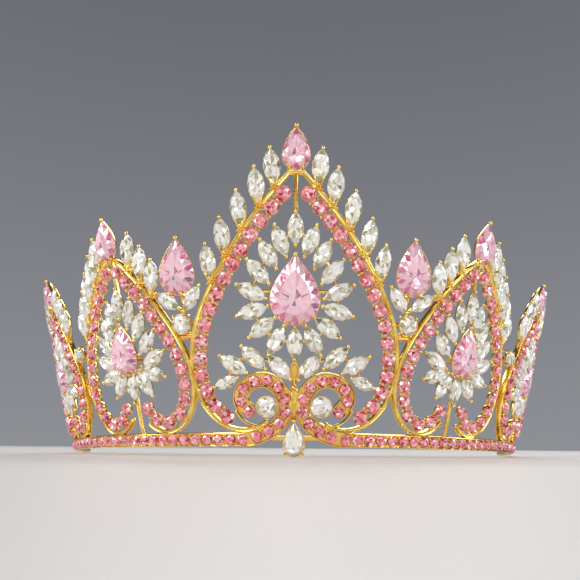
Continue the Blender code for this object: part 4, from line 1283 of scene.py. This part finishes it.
def build_scrolls():
    """Scrolls: strips with raised rims, a row of pink stones with beads between, and a clear round."""
    for side, word in SIDES:
        angle, up = scroll_table(side, SCROLL_SAMPLES)
        path = cone(angle, up, SCROLL_OUT)
        outward = outward_at(angle, up)
        half = SCROLL_WIDTH / 2
        profile = np.array([
            (-half, -0.5), (-half, 0.7), (-half + 0.1, 0.85), (-half + 0.3, 0.85), (-half + 0.42, 0.7),
            (-half + 0.46, 0.4), (half - 0.46, 0.4), (half - 0.42, 0.7), (half - 0.3, 0.85),
            (half - 0.1, 0.85), (half, 0.7), (half, -0.5)])
        gold = [swept(path, outward, profile)]
        angle, up = scroll_table(side, len(SCROLL_LINE))
        angle, up = angle[1:], up[1:]
        stone = small_pink(size_mm("small_pink_diameter"))
        placed = seats(angle, up, SCROLL_STONE_OUT, SCROLL_STONE_TURN * np.arange(len(up)))
        add_piece(f"scroll_stones_{word}", stamped(stone, placed), "pink_stone", ["frame"])
        places, _, away = along_and_away(angle, up, side)
        middles = (places[1:] + places[:-1]) / 2 + outward_at(angle, up)[1:] * SCROLL_BEAD_OUT
        sideways = unit(away[1:] + away[:-1])
        axes = seats(angle, up)[1][1:]
        gold += [stamped(ball(SCROLL_BEAD), (middles + sideways * sign, axes)) for sign in (-1, 1)]
        outline = round_outline(size_mm("round_diameter") * LARGER_ROUND)
        stone = cut_stone(outline, crown=1.3, depth=0.9, table=0.52, inner=0.5, dip=0.2)
        cup = setting(outline, rim=0.2, foot=1.3, lip=0.0)
        across, height = SCROLL_ROUND
        placed = seats(side * degrees_across(across), height, SCROLL_ROUND_OUT)
        add_stone(f"scroll_round_{word}", (stone, cup), placed, "clear_stone", gold)
        gold.append(cone_wire(arch_places(ARCHES["centre"], SCROLL_CRESCENT, side), 0.8, depth=1.2))
        add_piece(f"scroll_{word}", joined(gold), "gold", ["frame"])


def build_pendant():
    """Clear pear in front of the band's middle."""
    rise = cone(0.0, 1.0, PENDANT_OUT)[2] - cone(0.0, 0.0, PENDANT_OUT)[2]
    touching = -cone(0.0, 0.0, PENDANT_OUT)[2] / rise
    gem, holder = pear_pair(
        PENDANT_WIDTH - PENDANT_RIM, PENDANT_LENGTH - 2 * PENDANT_RIM, crown=1.5, half=8)
    placed = seats(0.0, touching + PENDANT_LENGTH / 2, PENDANT_OUT)
    add_piece("pendant_stone", stamped(gem, placed), "clear_stone", ["pendant"])
    add_piece("pendant_setting", stamped(holder, placed), "gold", ["pendant"])


def build_stage():
    """Pale round floor, soft lights and the camera."""
    turn = np.linspace(0.0, 2 * np.pi, FLOOR_SEGMENTS + 1)
    radius = np.geomspace(0.01, FLOOR_RADIUS, FLOOR_RINGS)
    radius[0] = 0.0
    grid = np.stack(np.broadcast_arrays(
        radius[None, :] * np.sin(turn)[:, None], radius[None, :] * np.cos(turn)[:, None], 0.0), axis=-1)
    index = np.arange(grid[..., 0].size).reshape(grid.shape[:2])
    quads = np.stack([index[:-1, :-1], index[1:, :-1], index[1:, 1:], index[:-1, 1:]], axis=-1).reshape(-1, 4)
    mesh = bpy.data.meshes.new("studio_floor")
    mesh.from_pydata(grid.reshape(-1, 3).tolist(), [], quads.tolist())
    mesh.polygons.foreach_set("use_smooth", np.full(len(quads), True))
    material = bpy.data.materials.new("studio_floor")
    material.use_nodes = True
    shader = material.node_tree.nodes["Principled BSDF"]
    shader.inputs["Base Color"].default_value = FLOOR_COLOUR
    shader.inputs["Roughness"].default_value = 0.45
    mesh.materials.append(material)
    floor = bpy.data.objects.new("studio_floor", mesh)
    bpy.context.scene.collection.objects.link(floor)
    for lamp in LAMPS:
        add_lamp(lamp)
    bpy.context.scene.world = studio_world()
    bpy.context.scene.view_settings.view_transform = "Standard"
    add_camera()


def add_lamp(lamp):
    """One rectangular lamp that faces the object."""
    data = bpy.data.lights.new(lamp.name, "AREA")
    data.shape = "RECTANGLE"
    data.size, data.size_y = lamp.size
    data.energy = lamp.power
    data.color = lamp.colour
    obj = bpy.data.objects.new(lamp.name, data)
    obj.location = lamp.place
    obj.rotation_euler = (Vector(LAMP_AIM) - obj.location).to_track_quat("-Z", "Y").to_euler()
    bpy.context.scene.collection.objects.link(obj)


def studio_world():
    """Dim room: light near the horizon, darker overhead."""
    world = bpy.data.worlds.new("studio")
    world.use_nodes = True
    tree = world.node_tree
    direction = add_node(tree, "ShaderNodeTexCoord").outputs["Generated"]
    height = add_node(tree, "ShaderNodeSeparateXYZ", links=((0, direction),)).outputs[2]
    share = add_node(
        tree, "ShaderNodeMapRange", values=(("From Min", -0.1), ("From Max", 0.9)),
        links=(("Value", height),))
    colour = add_node(
        tree, "ShaderNodeMix", (("data_type", "RGBA"),),
        ((6, HORIZON_LIGHT), (7, OVERHEAD_LIGHT)), ((0, share.outputs["Result"]),))
    tree.links.new(colour.outputs[2], tree.nodes["Background"].inputs["Color"])
    return world


def add_camera():
    """Camera low in front of the band, tilted up and rolled slightly, with the photo's framing."""
    data = bpy.data.cameras.new("camera")
    data.sensor_width = SENSOR
    data.lens = FOCAL_PIXELS / FRAME_PIXELS * SENSOR
    data.shift_x = -PRINCIPAL_RIGHT / FRAME_PIXELS
    data.shift_y = PRINCIPAL_DOWN / FRAME_PIXELS
    data.clip_start = 0.01
    camera = bpy.data.objects.new("camera", data)
    pitch, roll = math.radians(CAMERA_PITCH), math.radians(CAMERA_ROLL)
    ahead = Vector((0.0, math.cos(pitch), math.sin(pitch)))
    level = Vector((1.0, 0.0, 0.0))
    above = level.cross(ahead)
    right = level * math.cos(roll) + above * math.sin(roll)
    top = above * math.cos(roll) - level * math.sin(roll)
    turn = Matrix((right, top, -ahead)).transposed().to_4x4()
    place = Vector((0.0, RING_CENTRE_Y * MM - CAMERA_DISTANCE, CAMERA_HEIGHT))
    camera.matrix_world = Matrix.Translation(place) @ turn
    bpy.context.scene.collection.objects.link(camera)
    bpy.context.scene.camera = camera


# Operators, panel and registration

class TIARA_OT_band(bpy.types.Operator):
    """Add the band and its row of stones."""

    bl_idname = "tiara.band"
    bl_label = "Band"

    def execute(self, context):
        build_band()
        return {"FINISHED"}


class TIARA_OT_rails(bpy.types.Operator):
    """Add the rails of the arches."""

    bl_idname = "tiara.rails"
    bl_label = "Rails"

    def execute(self, context):
        build_rails()
        return {"FINISHED"}


class TIARA_OT_rows(bpy.types.Operator):
    """Add the rows of pink stones."""

    bl_idname = "tiara.rows"
    bl_label = "Pink Rows"

    def execute(self, context):
        build_rows()
        return {"FINISHED"}


class TIARA_OT_flowers(bpy.types.Operator):
    """Add the flowers and the pears of the arches."""

    bl_idname = "tiara.flowers"
    bl_label = "Flowers"

    def execute(self, context):
        build_flowers()
        return {"FINISHED"}


class TIARA_OT_crests(bpy.types.Operator):
    """Add the marquises that stand on the rails."""

    bl_idname = "tiara.crests"
    bl_label = "Crests"

    def execute(self, context):
        build_crests()
        return {"FINISHED"}


class TIARA_OT_leaves(bpy.types.Operator):
    """Add the leaves under the centre flower."""

    bl_idname = "tiara.leaves"
    bl_label = "Leaves"

    def execute(self, context):
        build_leaves()
        return {"FINISHED"}


class TIARA_OT_stems(bpy.types.Operator):
    """Add the stems between the arches."""

    bl_idname = "tiara.stems"
    bl_label = "Stems"

    def execute(self, context):
        build_stems()
        return {"FINISHED"}


class TIARA_OT_scrolls(bpy.types.Operator):
    """Add the two scrolls."""

    bl_idname = "tiara.scrolls"
    bl_label = "Scrolls"

    def execute(self, context):
        build_scrolls()
        return {"FINISHED"}


class TIARA_OT_pendant(bpy.types.Operator):
    """Add the pendant."""

    bl_idname = "tiara.pendant"
    bl_label = "Pendant"

    def execute(self, context):
        build_pendant()
        return {"FINISHED"}


class TIARA_OT_stage(bpy.types.Operator):
    """Add the floor, the lights and the camera."""

    bl_idname = "tiara.stage"
    bl_label = "Stage"

    def execute(self, context):
        build_stage()
        return {"FINISHED"}


OPERATORS = (
    TIARA_OT_stage, TIARA_OT_band, TIARA_OT_rails, TIARA_OT_rows, TIARA_OT_flowers, TIARA_OT_crests,
    TIARA_OT_leaves, TIARA_OT_stems, TIARA_OT_scrolls, TIARA_OT_pendant)


class TIARA_PT_panel(bpy.types.Panel):
    """Sizes, colours and the pieces of the tiara."""

    bl_label = "Tiara"
    bl_idname = "TIARA_PT_panel"
    bl_space_type = "VIEW_3D"
    bl_region_type = "UI"
    bl_category = "Tiara"

    def draw(self, context):
        layout = self.layout
        for settings in (context.scene.tiara_sizes, context.scene.tiara_colours):
            for name in settings.__annotations__:
                layout.prop(settings, name)
        for operator in OPERATORS:
            layout.operator(operator.bl_idname)


CLASSES = (TiaraSizes, TiaraColours) + OPERATORS + (TIARA_PT_panel,)


def register():
    """Register the classes and hang the settings on the scene."""
    for entry in CLASSES:
        bpy.utils.register_class(entry)
    bpy.types.Scene.tiara_sizes = bpy.props.PointerProperty(type=TiaraSizes)
    bpy.types.Scene.tiara_colours = bpy.props.PointerProperty(type=TiaraColours)


def unregister():
    """Take the settings off the scene and drop the classes."""
    del bpy.types.Scene.tiara_colours
    del bpy.types.Scene.tiara_sizes
    for entry in reversed(CLASSES):
        bpy.utils.unregister_class(entry)


def main():
    """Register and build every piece."""
    register()
    for operator in OPERATORS:
        getattr(bpy.ops.tiara, operator.bl_idname.split(".")[1])()


if __name__ == "__main__":
    main()
